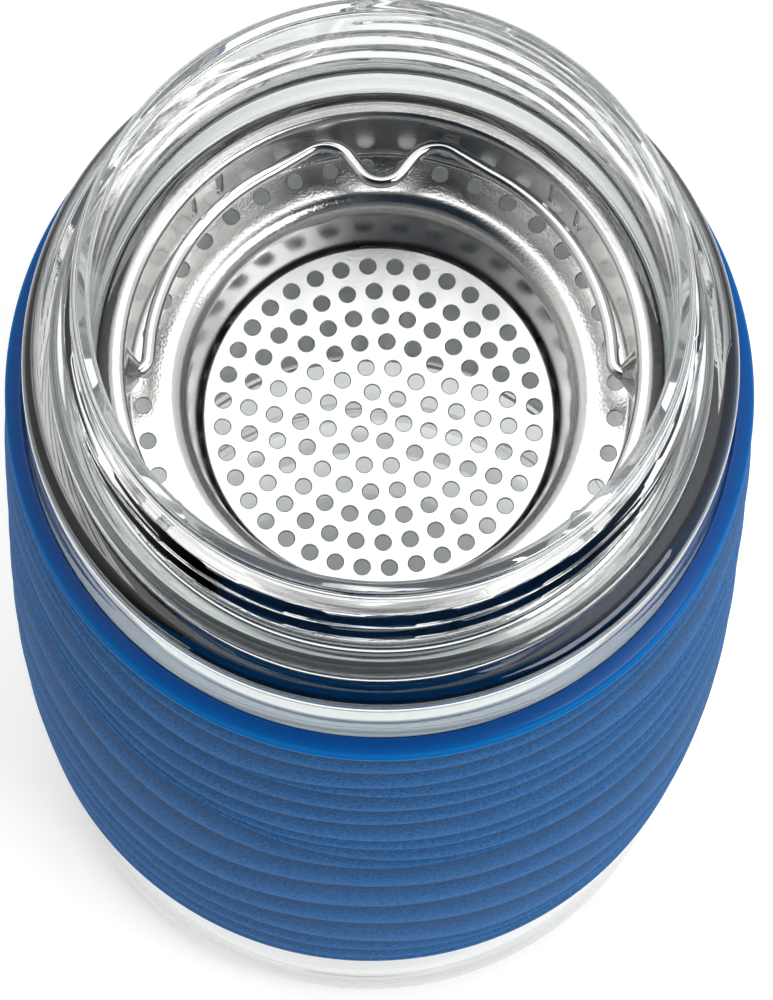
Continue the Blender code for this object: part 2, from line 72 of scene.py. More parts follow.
# Outer glass
BELLY_HEIGHT = 0.075
TOP_INSET = 0.0005
FOOT_INSET = 0.0020
FOOT_EASE_POWER = 2.4
GLASS_WALL = 0.0022
NECK_BORE_RADIUS = 0.0305
NECK_OUTER_RADIUS = 0.0325
COLLAR_RADIUS = 0.0351
COLLAR_DROP = 0.0228
COLLAR_HALF_HEIGHT = 0.0016
CREVICE_RADIUS = 0.0341
SHOULDER_DROP = 0.0250
SHOULDER_ROUND = 0.0027
SHOULDER_ROOT_WALL = 0.0040
SHOULDER_TAPER_DROP = 0.0190
NECK_ROOT_DROP = 0.0299
BASE_CORNER_RADIUS = 0.0085
BASE_THICKNESS = 0.0032
FOOT_RING_INSET = 0.0040
PUNT_DEPTH = 0.0014
VENT_RADIUS = 0.0020
GLASS_COLUMNS = 256
NECK_ROW = 0.00035
# How many rim rounds below the top the neck's rows start
NECK_TOP_ROUNDS = 1.6
WALL_ROW = 0.003

# Screw thread round the neck, from its upper end down
THREAD_TOP_DROP = 0.0055
THREAD_PITCH = 0.0052
THREAD_TURNS = 2.15
THREAD_PROUD = 0.0011
THREAD_HALF_WIDTH = 0.0014
THREAD_START_DEG = 95.75
THREAD_FADE_TURNS = 0.05
THREAD_CREST_POWER = 0.8

# Inner glass
LINER_WALL = 0.0020
AIR_SPACE = 0.0035
LINER_CORNER_RADIUS = 0.0100
SEAT_WIDTH = 0.0022
SEAT_RING_HEIGHT = 0.0040
LINER_FLARE_HEIGHT = 0.0080
LINER_ROUND = 0.0045

# Silicone sleeve
FIT_GAP = 0.0003
SLEEVE_THICKNESS = 0.0013
SLEEVE_GRIP = 0.00005
SLEEVE_SHIFT = 0.00008
SLEEVE_TOUCH_DEG = -58.0
LIP_WIDTH = 0.0017
LIP_FACE_HEIGHT = 0.0030
LIP_SLOPE = 0.0006
LIP_ROUND = 0.0007
HEM_WIDTH = 0.0009
HEM_HEIGHT = 0.0022
RIDGE_PROUD = 0.0005
RIDGE_DEPTH = 0.0003
RIDGE_STEP_HEIGHT = 0.0007
RIDGE_LEAST_GAP = 0.0012
RIDGE_FULL_BAND = 0.0070
RIDGE_RELIEF_POWER = 0.5
RIDGE_STEP_SHARE = 0.4
LEVEL_EDGE_SHARE = 0.5
RIDGE_START_DEG = -152.25
# How far down the ridged band each ridge lies, at even angles over half a turn. Both halves are alike.
RIDGE_PLACE_SHARES = (
    (0.026, 0.045, 0.053, 0.043, 0.026, 0.026),
    (0.065, 0.129, 0.115, 0.099, 0.065, 0.065),
    (0.111, 0.142, 0.152, 0.171, 0.195, 0.153),
    (0.205, 0.205, 0.212, 0.214, 0.224, 0.214),
    (0.250, 0.275, 0.271, 0.268, 0.270, 0.260),
    (0.287, 0.326, 0.343, 0.349, 0.357, 0.322),
    (0.313, 0.356, 0.384, 0.398, 0.413, 0.363),
    (0.326, 0.369, 0.427, 0.461, 0.485, 0.405),
    (0.413, 0.461, 0.471, 0.474, 0.498, 0.455),
    (0.559, 0.577, 0.553, 0.572, 0.611, 0.585),
    (0.646, 0.675, 0.652, 0.659, 0.758, 0.702),
    (0.741, 0.760, 0.739, 0.770, 0.818, 0.780),
    (0.794, 0.828, 0.843, 0.886, 0.878, 0.836),
    (0.871, 0.896, 0.905, 0.925, 0.925, 0.898),
    (0.934, 0.958, 0.968, 0.959, 0.957, 0.946),
)
SLEEVE_COLUMNS = 360
BAND_ROWS = 7
# How far a band leans out, from the step above it to its own edge
RIDGE_LEANS = (0.0, 0.10, 0.24, 0.42, 0.64, 0.90, 1.0, 0.86)

# Strainer basket
SHEET_THICKNESS = 0.0005
MOUTH_CLEARANCE = 0.0004
RIM_EDGE_ROUND = 0.0009
RIM_CURL = 0.0002
WALL_TAPER = 0.0003
LEDGE_DROP = 0.0124
LEDGE_CORNER_ROUND = 0.0007
CUP_MOUTH_RADIUS = 0.0207
CUP_MOUTH_ROUND = 0.0022
CUP_FOOT_ROUND = 0.0008
FLOOR_REST_WIDTH = 0.0012
SHEET_COLUMNS = 240
SHEET_ROW = 0.0006
SHEET_SEAM_DEG = 268.75
EDGE_BULGE = 0.00012
EDGE_STEPS = 3

# Perforations
HOLE_RADIUS = 0.00084
HOLE_SIDES = 28
FLOOR_HOLE_PITCH = 0.0028
FLOOR_RING_COUNT = 6
HOLES_ADDED_PER_RING = 6
FLOOR_FIRST_HOLE_DEG = 104.15
LEDGE_HOLE_RING_RADIUS = 0.02525
LEDGE_HOLE_COUNT = 40
LEDGE_FIRST_HOLE_DEG = 3.25

# Spring tongues and pivots in the basket's wall
TONGUE_COUNT = 4
TONGUE_FIRST_DEG = 43.35
TONGUE_WIDTH = 0.0029
TONGUE_HEIGHT = 0.0054
TONGUE_DROP = 0.0022
TONGUE_SLOT_WIDTH = 0.0009
TONGUE_CORNER_ROUND = TONGUE_SLOT_WIDTH / 2.2
TONGUE_EDGE_MARGIN = TONGUE_SLOT_WIDTH / 4
TONGUE_LEAN = 0.0003
TONGUE_LEAN_POWER = 1.5
PIVOT_CLEARANCE = 0.00025
PIVOT_DIMPLE_RADIUS = 0.0029
PIVOT_DIMPLE_DEPTH = 0.0015

# Wire handle, drawn about its pivot axis
HANDLE_HALF_WIDTH = 0.02475
HANDLE_SHOULDER_ROUND = 0.0016
LOOP_RADIUS = 0.0247
LOOP_LIFT = 0.0004
LOOP_START_DEG = 9.0
LOOP_END_DEG = 62.0
HUMP_REACH = 0.0262
HUMP_HALF_SPAN = 0.0052
HUMP_ROUND = 0.0033
NOTCH_REACH = 0.0193
NOTCH_ROUND = 0.0028
LOOP_STEPS = 28
WIRE_BEVEL_RESOLUTION = 6

# Base plug
PLUG_HEAD_THICKNESS = 0.0008
PLUG_COLUMNS = 48

# Shared by the modelling functions
ARC_STEP_DEG = 9.0
SHARP_EDGE_DEG = 28.0
FILLET_ROOM_SHARE = 0.49
LEAST_BEND = 0.001
FLAT_TOLERANCE = 0.000001
FILL_TOLERANCE = 1e-9

# Worked out from the values above
COLLAR_HEIGHT = MUG_HEIGHT - COLLAR_DROP
SHOULDER_HEIGHT = MUG_HEIGHT - SHOULDER_DROP
SHELL_TOP_RADIUS = BELLY_RADIUS - TOP_INSET
SHELL_FOOT_RADIUS = BELLY_RADIUS - FOOT_INSET
SEAT_OUTER_RADIUS = NECK_BORE_RADIUS - FIT_GAP
LINER_MOUTH_RADIUS = SEAT_OUTER_RADIUS - SEAT_WIDTH
LEDGE_HEIGHT = RIM_TOP_HEIGHT - LEDGE_DROP
BASKET_TOP_RADIUS = LINER_MOUTH_RADIUS - MOUTH_CLEARANCE
BASKET_LEDGE_RADIUS = BASKET_TOP_RADIUS - WALL_TAPER
LIP_FOOT_HEIGHT = LIP_HEIGHT - LIP_FACE_HEIGHT
HEM_TOP_HEIGHT = SLEEVE_FOOT_HEIGHT + HEM_HEIGHT

# Camera, as the photograph was taken. It is turned round Z so that the handle's axis lies along X.
CAMERA_TURN_DEG = -2.25
CAMERA_PLACE = (0.001234, -0.33741, 1.37065)
CAMERA_ELEVATION_DEG = 75.2306
CAMERA_ROLL_DEG = 2.5029
CAMERA_LENS_MM = 432.0
CAMERA_SENSOR_MM = 36.0
CAMERA_FAR_END = 20.0

# Studio
GLASS_BOUNCES = 24
FLOOR_LIFT = 0.42
# Painted shadow under the mug: from UNDER_MUG out to CLEAR_OF_MUG the floor's added white fades in from a
# share of it
UNDER_MUG = 0.024
CLEAR_OF_MUG = 0.040
UNDER_MUG_PAINTED_SHADOW_SHARE = 0.45
SKY_STRENGTH = 0.50
FRONT_COLOUR = (0.010, 0.022, 0.036)
FRONT_START = -0.15
FRONT_FULL = -0.70
TABLE_EDGE_START = 0.14
TABLE_EDGE_END = 0.34
FLOOR_COLOUR = (0.90, 0.90, 0.90)
FLOOR_HALF_SIZE = 4.0
WHITE = (1.0, 1.0, 1.0)
BLACK = (0.0, 0.0, 0.0)
SOFTBOX_AIM = (0.0, 0.0, 0.1)
# Name, place, size and power of each softbox
SOFTBOXES = (
    ("back_softbox", (0.0, 0.55, 1.5), (1.4, 0.9), 6.2),
    ("side_softbox", (0.7, -0.5, 1.0), (0.6, 0.6), 7.0),
)

# Glass
GLASS_IOR = 1.48
SHELL_COLOUR = (0.963, 0.981, 0.973)
LINER_COLOUR = (0.945, 0.970, 0.960)
GLASS_WAVE_SCALE = 90.0
GLASS_WAVE_STRENGTH = 0.03
GLASS_WAVE_DEPTH = 0.0006

# Steel: colour, roughness range, grain scale and grain depth of each sort
BASKET_STEEL = ((0.62, 0.61, 0.60), (0.13, 0.24), 3600.0, 0.00004)
DISK_STEEL = ((0.64, 0.64, 0.65), (0.26, 0.38), 3000.0, 0.00005)
WIRE_STEEL = ((0.70, 0.69, 0.69), (0.06, 0.14), 1500.0, 0.00002)
STEEL_CLOUD_SCALE = 160.0
STEEL_CLOUD_RANGE = (0.3, 0.7)
STEEL_TINT_RANGE = (0.94, 1.04)
STEEL_GRAIN_STRENGTH = 0.5

# Blue silicone. A pair is for body and lip, unless it is named a range.
SLEEVE_IOR = 1.43
SLEEVE_DARK = (0.008, 0.064, 0.192)
SLEEVE_LIGHT = (0.030, 0.134, 0.340)
SLEEVE_CLOUD_SCALE = 60.0
SLEEVE_CLOUD_RANGE = (0.9, 1.1)
# Colour scale of the ridged bands from the recess under a step to the band's edge: painted shade in the
# recesses, painted highlight on the edges
SLEEVE_PAINTED_SHADE_AND_HIGHLIGHT_RANGE = (0.60, 1.42)
SLEEVE_ROUGHNESS = (0.62, 0.22)
SLEEVE_SHEEN = (0.09, 0.0)
LIP_TOP_SHEEN = 0.30
# The light cyan of the lip's face is a painted glow of light shining through its edge; the top keeps the deep
# blue
LIP_FACE_PAINTED_GLOW = (0.004, 0.150, 0.480)
LIP_TOP_COLOUR = (0.001, 0.060, 0.270)
LIP_FOOT_BLEND = 0.0004
LIP_TOP_BLEND_START = 0.0011
LIP_TOP_BLEND_END = 0.0001
SPECKLE_SCALE = 2600.0
SPECKLE_ROUGHNESS = 0.7
SPECKLE_RANGE = (0.30, 0.72)
SPECKLE_STRENGTH = (0.75, 0.02)
SPECKLE_DEPTH = 0.00012

# Clear silicone of the plug
PLUG_IOR = 1.41
PLUG_TRANSMISSION = 0.35
PLUG_CLOUD_SCALE = 700.0
PLUG_DARK = (0.70, 0.71, 0.70)
PLUG_LIGHT = (0.84, 0.85, 0.84)
PLUG_ROUGHNESS_RANGE = (0.40, 0.60)


def fillet_points(before, corner, after, radius):
    """Points of the round that takes a corner off. It takes less than half of each run beside it."""
    back = before - corner
    ahead = after - corner
    opening = back.angle(ahead)
    bend = math.pi - opening
    if radius == 0.0 or bend < LEAST_BEND:
        return [corner]
    back_run = min(radius / math.tan(opening / 2), FILLET_ROOM_SHARE * min(back.length, ahead.length))
    round_radius = back_run * math.tan(opening / 2)
    inward = (back.normalized() + ahead.normalized()).normalized()
    middle = corner + inward * round_radius / math.sin(opening / 2)
    start = corner + back.normalized() * back_run - middle
    end = corner + ahead.normalized() * back_run - middle
    across = (end - start * math.cos(bend)) / math.sin(bend)
    steps = max(2, round(bend / math.radians(ARC_STEP_DEG)))
    points = []
    for step in range(steps + 1):
        turn = bend * step / steps
        points.append(middle + start * math.cos(turn) + across * math.sin(turn))
    return points


def rounded_path(corners):
    """Points along straight runs between corners, which are given as (point, fillet radius)."""
    places = [Vector(point) for point, _ in corners]
    path = [places[0]]
    for index in range(1, len(corners) - 1):
        path += fillet_points(places[index - 1], places[index], places[index + 1], corners[index][1])
    path.append(places[-1])
    return path


def finer(path, step):
    """The same path with each long straight run cut into steps of about the given length."""
    points = [path[0]]
    for before, after in zip(path, path[1:]):
        count = max(1, math.ceil((after - before).length / step))
        for index in range(1, count + 1):
            points.append(before.lerp(after, index / count))
    return points


def new_piece(name, points, faces, material, body, replaced):
    mesh = bpy.data.meshes.new(name)
    mesh.from_pydata([tuple(point) for point in points], [], faces)
    mesh.validate()
    mesh.shade_smooth()
    mesh.set_sharp_from_angle(angle=math.radians(SHARP_EDGE_DEG))
    mesh.materials.append(material)
    piece = bpy.data.objects.new(name, mesh)
    bpy.context.scene.collection.objects.link(piece)
    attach(piece, body)
    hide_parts(replaced)
    return piece


def around(radius, angles, height):
    return np.stack([radius * np.cos(angles), radius * np.sin(angles), height], 1)


def ring_faces(upper, lower, columns):
    """Quads between two rings of points, given by the numbers of their first points."""
    faces = []
    for column in range(columns):
        after = (column + 1) % columns
        faces.append((upper + column, lower + column, lower + after, upper + after))
    return faces


def lathe(outline, columns, swell=None):
    """Turn a closed outline of (radius, height) round Z, down its outer side first.

    swell(radius, height, angles) gives how far each point of a row moves outward.
    An outline that starts and ends on the axis gets one point at each pole.
    """
    rows = [Vector(point) for point in outline]
    on_axis = rows[0].x == 0.0 and rows[-1].x == 0.0
    angles = np.arange(columns) * TAU / columns
    points = []
    ring_rows = rows[1:-1] if on_axis else rows
    for row in ring_rows:
        radius = np.full(columns, row.x)
        if swell is not None:
            radius = radius + swell(row.x, row.y, angles)
        points.append(around(radius, angles, np.full(columns, row.y)))
    points = np.concatenate(points)
    faces = []
    last = len(ring_rows) - 1 if on_axis else len(ring_rows)
    for row in range(last):
        faces += ring_faces(row * columns, (row + 1) % len(ring_rows) * columns, columns)
    if on_axis:
        first_pole = len(points)
        points = np.concatenate([points, [(0.0, 0.0, rows[0].y), (0.0, 0.0, rows[-1].y)]])
        bottom = (len(ring_rows) - 1) * columns
        for column in range(columns):
            after = (column + 1) % columns
            faces.append((first_pole, column, after))
            faces.append((first_pole + 1, bottom + after, bottom + column))
    return points, faces


def shell_radius(height):
    """Outer radius of the glass wall: widest at the belly, easing in to the lip and to the foot."""
    if height >= BELLY_HEIGHT:
        share = (height - BELLY_HEIGHT) / (LIP_HEIGHT - BELLY_HEIGHT)
        return BELLY_RADIUS - TOP_INSET * min(share, 1.0) ** 2
    share = (BELLY_HEIGHT - height) / (BELLY_HEIGHT - SLEEVE_FOOT_HEIGHT)
    return BELLY_RADIUS - FOOT_INSET * min(share, 1.0) ** FOOT_EASE_POWER


def wall_heights(top, bottom, step):
    count = math.ceil(abs(top - bottom) / step)
    return [top + (bottom - top) * index / count for index in range(count + 1)]


def thread_swell(radius, height, angles):
    """Relief of a right-handed thread that runs down from its upper end and fades out at both ends."""
    relief = np.zeros(len(angles))
    on_neck = NECK_OUTER_RADIUS - FIT_GAP < radius < NECK_OUTER_RADIUS + FIT_GAP
    if not on_neck or height < COLLAR_HEIGHT:
        return relief
    first_turn = np.mod(math.radians(THREAD_START_DEG) - angles, TAU) / TAU
    for turn in range(math.ceil(THREAD_TURNS) + 1):
        run = first_turn + turn
        crest = MUG_HEIGHT - THREAD_TOP_DROP - THREAD_PITCH * run
        share = np.clip(np.abs(height - crest) / THREAD_HALF_WIDTH, 0.0, 1.0)
        fade_in = np.clip(run / THREAD_FADE_TURNS, 0.0, 1.0)
        fade_out = np.clip((THREAD_TURNS - run) / THREAD_FADE_TURNS, 0.0, 1.0)
        bump = (0.5 + 0.5 * np.cos(math.pi * share)) ** THREAD_CREST_POWER
        relief = np.maximum(relief, THREAD_PROUD * bump * fade_in * fade_out)
    return relief


def outer_glass_outline():
    rim_round = (NECK_OUTER_RADIUS - NECK_BORE_RADIUS) / 2
    neck_foot = COLLAR_HEIGHT + COLLAR_HALF_HEIGHT
    outside = [
        ((NECK_BORE_RADIUS, MUG_HEIGHT - rim_round), 0.0),
        ((NECK_BORE_RADIUS, MUG_HEIGHT), rim_round),
        ((NECK_OUTER_RADIUS, MUG_HEIGHT), rim_round),
    ]
    neck_head = MUG_HEIGHT - NECK_TOP_ROUNDS * rim_round
    for height in wall_heights(neck_head, neck_foot + COLLAR_HALF_HEIGHT, NECK_ROW):
        outside.append(((NECK_OUTER_RADIUS, height), 0.0))
    outside += [
        ((NECK_OUTER_RADIUS, neck_foot), COLLAR_HALF_HEIGHT),
        ((COLLAR_RADIUS, neck_foot), COLLAR_HALF_HEIGHT),
        ((COLLAR_RADIUS, COLLAR_HEIGHT - COLLAR_HALF_HEIGHT), COLLAR_HALF_HEIGHT),
        ((CREVICE_RADIUS, SHOULDER_HEIGHT), COLLAR_HALF_HEIGHT / 3),
        ((SHELL_TOP_RADIUS, SHOULDER_HEIGHT), SHOULDER_ROUND),
    ]
    for height in wall_heights(SHOULDER_HEIGHT - 2 * SHOULDER_ROUND, SLEEVE_FOOT_HEIGHT, WALL_ROW):
        outside.append(((shell_radius(height), height), 0.0))
    outside += [
        ((SHELL_FOOT_RADIUS, 0.0), BASE_CORNER_RADIUS),
        ((SHELL_FOOT_RADIUS - BASE_CORNER_RADIUS - FOOT_RING_INSET, 0.0), FOOT_RING_INSET / 4),
        ((SHELL_FOOT_RADIUS - BASE_CORNER_RADIUS - 2 * FOOT_RING_INSET, PUNT_DEPTH), FOOT_RING_INSET / 2),
        ((VENT_RADIUS, PUNT_DEPTH), 0.0),
    ]
    inner_corner = BASE_CORNER_RADIUS - GLASS_WALL / 2
    inside = [
        ((VENT_RADIUS, PUNT_DEPTH + BASE_THICKNESS), 0.0),
        ((SHELL_FOOT_RADIUS - GLASS_WALL, PUNT_DEPTH + BASE_THICKNESS), inner_corner),
    ]
    for height in wall_heights(SLEEVE_FOOT_HEIGHT, SHOULDER_HEIGHT - SHOULDER_TAPER_DROP, WALL_ROW):
        inside.append(((shell_radius(height) - GLASS_WALL, height), 0.0))
    inside += [
        ((SHELL_TOP_RADIUS - SHOULDER_ROOT_WALL, SHOULDER_HEIGHT - SHOULDER_ROOT_WALL), SHOULDER_ROUND / 2),
        ((NECK_BORE_RADIUS, MUG_HEIGHT - NECK_ROOT_DROP), GLASS_WALL / 2),
        ((NECK_BORE_RADIUS, MUG_HEIGHT - rim_round), 0.0),
    ]
    return rounded_path(outside)[1:] + rounded_path(inside)


def make_outer_glass(material):
    points, faces = lathe(outer_glass_outline(), GLASS_COLUMNS, thread_swell)
    new_piece("glass_shell", points, faces, material, "mug", "outer_glass")


def make_inner_glass(material):
    ring_foot = SEAT_HEIGHT - SEAT_RING_HEIGHT
    flare_foot = ring_foot - LINER_FLARE_HEIGHT
    wall_outer = SHELL_TOP_RADIUS - GLASS_WALL - AIR_SPACE
    foot_outer = SHELL_FOOT_RADIUS - GLASS_WALL - AIR_SPACE
    low_wall = SLEEVE_FOOT_HEIGHT + LINER_CORNER_RADIUS
    bottom = LINER_LOW.z
    outline = rounded_path([
        ((0.0, bottom + LINER_WALL), 0.0),
        ((foot_outer - LINER_WALL, bottom + LINER_WALL), LINER_CORNER_RADIUS - LINER_WALL),
        ((wall_outer - LINER_WALL, low_wall), LINER_CORNER_RADIUS),
        ((wall_outer - LINER_WALL, flare_foot - LINER_WALL / 2), LINER_ROUND),
        ((LINER_MOUTH_RADIUS, ring_foot - LINER_WALL / 2), LINER_ROUND),
        ((LINER_MOUTH_RADIUS, SEAT_HEIGHT), LINER_WALL / 4),
        ((SEAT_OUTER_RADIUS, SEAT_HEIGHT), LINER_WALL / 4),
        ((SEAT_OUTER_RADIUS, ring_foot), LINER_ROUND),
        ((wall_outer, flare_foot), LINER_ROUND),
        ((wall_outer, low_wall), LINER_CORNER_RADIUS),
        ((foot_outer, bottom), LINER_CORNER_RADIUS),
        ((0.0, bottom), 0.0),
    ])
    points, faces = lathe(outline, GLASS_COLUMNS)
    new_piece("glass_liner", points, faces, material, "mug", "inner_glass")


def make_base_plug(material):
    head_top = PUNT_DEPTH - FIT_GAP
    stem_radius = VENT_RADIUS - FIT_GAP
    outline = rounded_path([
        ((0.0, PLUG_HIGH.z), 0.0),
        ((stem_radius, PLUG_HIGH.z), stem_radius / 2),
        ((stem_radius, head_top), FIT_GAP / 2),
        ((PLUG_HIGH.x, head_top), FIT_GAP / 2),
        ((PLUG_HIGH.x, head_top - PLUG_HEAD_THICKNESS), PLUG_HEAD_THICKNESS / 2),
        ((0.0, head_top - PLUG_HEAD_THICKNESS), 0.0),
    ])
    points, faces = lathe(outline, PLUG_COLUMNS)
    new_piece("vent_plug", points, faces, material, "mug", "base_plug")


def ridge_heights(angles):
    """Height of each ridge's edge at each angle, on smooth curves. Ridges run together where they meet."""
    columns = len(RIDGE_PLACE_SHARES[0])
    run = (angles - math.radians(RIDGE_START_DEG)) / math.pi * columns
    column = np.floor(run).astype(int)
    part = run - column
    edges = []
    above = np.full(len(angles), LIP_FOOT_HEIGHT)
    for shares in np.array(RIDGE_PLACE_SHARES):
        before, start, end, after = [shares[(column + step) % columns] for step in (-1, 0, 1, 2)]
        place = start + (end - start) * part ** 2 * (3 - 2 * part)
        place += (end - before) / 2 * part * (1 - part) ** 2
        place -= (after - start) / 2 * part ** 2 * (1 - part)
        edge = LIP_FOOT_HEIGHT + (HEM_TOP_HEIGHT - LIP_FOOT_HEIGHT) * place
        above = np.minimum(edge, above - RIDGE_LEAST_GAP)
        edges.append(above)
    return edges


def skin_radius(heights):
    return np.array([shell_radius(height) for height in heights]) + FIT_GAP + SLEEVE_THICKNESS


def make_sleeve(material):
    """The grip: a smooth lip, then bands that lean out downwards and step back in at wavy ridges.

    It is set a little to one side, so its inner face lies just inside the glass there and clears it
    opposite. At the foot the last row of the inner face lies deeper in the glass.
    """
    angles = np.arange(SLEEVE_COLUMNS) * TAU / SLEEVE_COLUMNS
    clearance = SLEEVE_SHIFT * (1 - np.cos(angles - math.radians(SLEEVE_TOUCH_DEG))) - SLEEVE_GRIP
    inner_top = SHELL_TOP_RADIUS
    inner_foot = SHELL_FOOT_RADIUS
    outer_top = SHELL_TOP_RADIUS + FIT_GAP + LIP_WIDTH
    outer_foot = SHELL_FOOT_RADIUS + FIT_GAP
    rows = []
    edge_shares = []

    def level_row(radius, height, shift=0.0):
        rows.append((radius + np.zeros(SLEEVE_COLUMNS) + shift, np.full(SLEEVE_COLUMNS, height)))
        edge_shares.append(LEVEL_EDGE_SHARE)

    lip = rounded_path([
        ((inner_top, LIP_HEIGHT - LIP_FACE_HEIGHT), 0.0),
        ((inner_top, LIP_HEIGHT), LIP_ROUND / 2),
        ((outer_top, LIP_HEIGHT - LIP_SLOPE), LIP_ROUND),
        ((outer_top, LIP_FOOT_HEIGHT), 0.0),
    ])
    for point in lip[1:]:
        level_row(point.x, point.y, clearance if point.x < inner_top + LIP_ROUND else 0.0)
    above = np.full(SLEEVE_COLUMNS, LIP_FOOT_HEIGHT)
    for edge in ridge_heights(angles) + [np.full(SLEEVE_COLUMNS, HEM_TOP_HEIGHT)]:
        band = above - edge
        relief = np.clip(band / RIDGE_FULL_BAND, 0.0, 1.0) ** RIDGE_RELIEF_POWER
        step = np.minimum(RIDGE_STEP_HEIGHT, RIDGE_STEP_SHARE * band)
        for row in range(BAND_ROWS + 1):
            share = row / BAND_ROWS
            height = above - step - (band - step) * share
            lean = RIDGE_LEANS[row]
            proud = RIDGE_PROUD * lean - RIDGE_DEPTH * (1 - lean)
            rows.append((skin_radius(height) + relief * proud, height))
            edge_shares.append(lean)
        above = edge
    foot = rounded_path([
        ((outer_foot + SLEEVE_THICKNESS, HEM_TOP_HEIGHT), 0.0),
        ((outer_foot + HEM_WIDTH, SLEEVE_FOOT_HEIGHT), LIP_ROUND / 2),
        ((inner_foot, SLEEVE_FOOT_HEIGHT), LIP_ROUND / 4),
        ((inner_foot, HEM_TOP_HEIGHT), 0.0),
    ])
    for point in foot[1:]:
        level_row(point.x, point.y, clearance if point.x < inner_foot + LIP_ROUND / 4 else 0.0)
    for height in wall_heights(HEM_TOP_HEIGHT, LIP_FOOT_HEIGHT, WALL_ROW)[1:]:
        level_row(shell_radius(height), height, clearance)
    points = np.concatenate([around(radius, angles, height) for radius, height in rows])
    faces = []
    for row in range(len(rows)):
        lower = (row + 1) % len(rows) * SLEEVE_COLUMNS
        faces += ring_faces(row * SLEEVE_COLUMNS, lower, SLEEVE_COLUMNS)
    piece = new_piece("grip_sleeve", points, faces, material, "mug", "silicone_sleeve")
    # edge_share keeps each row's lean; the sleeve material paints shade with it, darker in the recess under a
    # step and lighter at a band's edge
    edge_layer = piece.data.attributes.new("edge_share", "FLOAT", "POINT")
    edge_layer.data.foreach_set("value", np.repeat(edge_shares, SLEEVE_COLUMNS))


def circle_loop(x, y, radius, sides):
    angles = (np.arange(sides) + 0.5) * TAU / sides
    return np.stack([x + radius * np.cos(angles), y + radius * np.sin(angles)], 1)


def inside_loop(points, loop):
    """Which points of the plane lie inside a closed loop, by counting crossings."""
    crossings = np.zeros(len(points), bool)
    for start, end in zip(loop, np.roll(loop, -1, 0)):
        spans = (start[1] > points[:, 1]) != (end[1] > points[:, 1])
        rise = end[1] - start[1] if end[1] != start[1] else 1.0
        reach = start[0] + (points[:, 1] - start[1]) * (end[0] - start[0]) / rise
        crossings ^= spans & (points[:, 0] < reach)
    return crossings


def clear_of_loops(points, loops, gap):
    """Which points keep a gap to every loop and lie in none of them."""
    free = np.ones(len(points), bool)
    for loop in loops:
        low = loop.min(0) - gap
        high = loop.max(0) + gap
        near = np.where(((points > low) & (points < high)).all(1))[0]
        if len(near) == 0:
            continue
        spread = np.linalg.norm(points[near][:, None] - loop[None], axis=2).min(1)
        free[near] &= (spread > gap) & ~inside_loop(points[near], loop)
    return free


def fill_plane(points, edges, loops):
    """Triangles between points of the plane that keep the given edges and leave the loops open."""
    result = delaunay_2d_cdt([Vector(point) for point in points], edges, [], 0, FILL_TOLERANCE)
    places = np.array([tuple(vertex) for vertex in result[0]])
    origin = [group[0] for group in result[3]]
    triangles = np.array(result[2])
    middles = places[triangles].mean(1)
    keep = np.ones(len(triangles), bool)
    for loop in loops:
        keep &= ~inside_loop(middles, loop)
    faces = []
    for triangle in triangles[keep]:
        a, b, c = places[triangle]
        turn = (b[0] - a[0]) * (c[1] - a[1]) - (b[1] - a[1]) * (c[0] - a[0])
        order = triangle if turn > 0 else triangle[::-1]
        faces.append(tuple(origin[index] for index in order))
    return faces


def loop_edges(first, count):
    return [(first + index, first + (index + 1) % count) for index in range(count)]


def close_sheet(places, normals, faces, loops):
    """A sheet of even thickness: both skins of a surface, and a rounded rim along each open loop.

    Faces run counter-clockwise seen from the side that the normals point to. Each loop is a list
    of point numbers with the open side on its left.
    """
    count = len(places)
    half = SHEET_THICKNESS / 2
    points = [places + normals * half, places - normals * half]
    solid = [tuple(face) for face in faces]
    solid += [tuple(count + index for index in reversed(face)) for face in faces]
    total = 2 * count
    for loop in loops:
        loop = np.array(loop)
        run = np.roll(places[loop], -1, 0) - np.roll(places[loop], 1, 0)
        open_side = np.cross(normals[loop], run)
        open_side /= np.linalg.norm(open_side, axis=1)[:, None]
        rings = [loop]
        for step in range(1, EDGE_STEPS + 1):
            turn = math.pi / 2 - math.pi * step / (EDGE_STEPS + 1)
            reach = EDGE_BULGE * math.cos(turn)
            points.append(places[loop] + open_side * reach + normals[loop] * half * math.sin(turn))
            rings.append(np.arange(total, total + len(loop)))
            total += len(loop)
        rings.append(loop + count)
        for front, back in zip(rings, rings[1:]):
            for index in range(len(loop)):
                after = (index + 1) % len(loop)
                solid.append((int(front[index]), int(back[index]), int(back[after]), int(front[after])))
    return np.concatenate(points), solid


def basket_line():
    """Middle line of the basket's sheet as (radius, height), from the rim's edge to the cup's foot."""
    half = SHEET_THICKNESS / 2
    cup_foot_radius = FLOOR_RADIUS + FIT_GAP + half
    rest_height = FLOOR_HEIGHT - SHEET_THICKNESS - FIT_GAP - half
    corners = [
        ((RIM_RADIUS - EDGE_BULGE, RIM_TOP_HEIGHT - half - RIM_CURL), 0.0),
        ((RIM_RADIUS - 2 * RIM_CURL, RIM_TOP_HEIGHT - half), 2 * RIM_CURL),
        ((BASKET_TOP_RADIUS - half, RIM_TOP_HEIGHT - half), RIM_EDGE_ROUND),
        ((BASKET_LEDGE_RADIUS - half, LEDGE_HEIGHT - half), LEDGE_CORNER_ROUND),
        ((CUP_MOUTH_RADIUS + half, LEDGE_HEIGHT - half), CUP_MOUTH_ROUND),
        ((cup_foot_radius, rest_height), CUP_FOOT_ROUND),
        ((cup_foot_radius - half - FLOOR_REST_WIDTH + EDGE_BULGE, rest_height), 0.0),
    ]
    return np.array([tuple(point) for point in finer(rounded_path(corners), SHEET_ROW)])


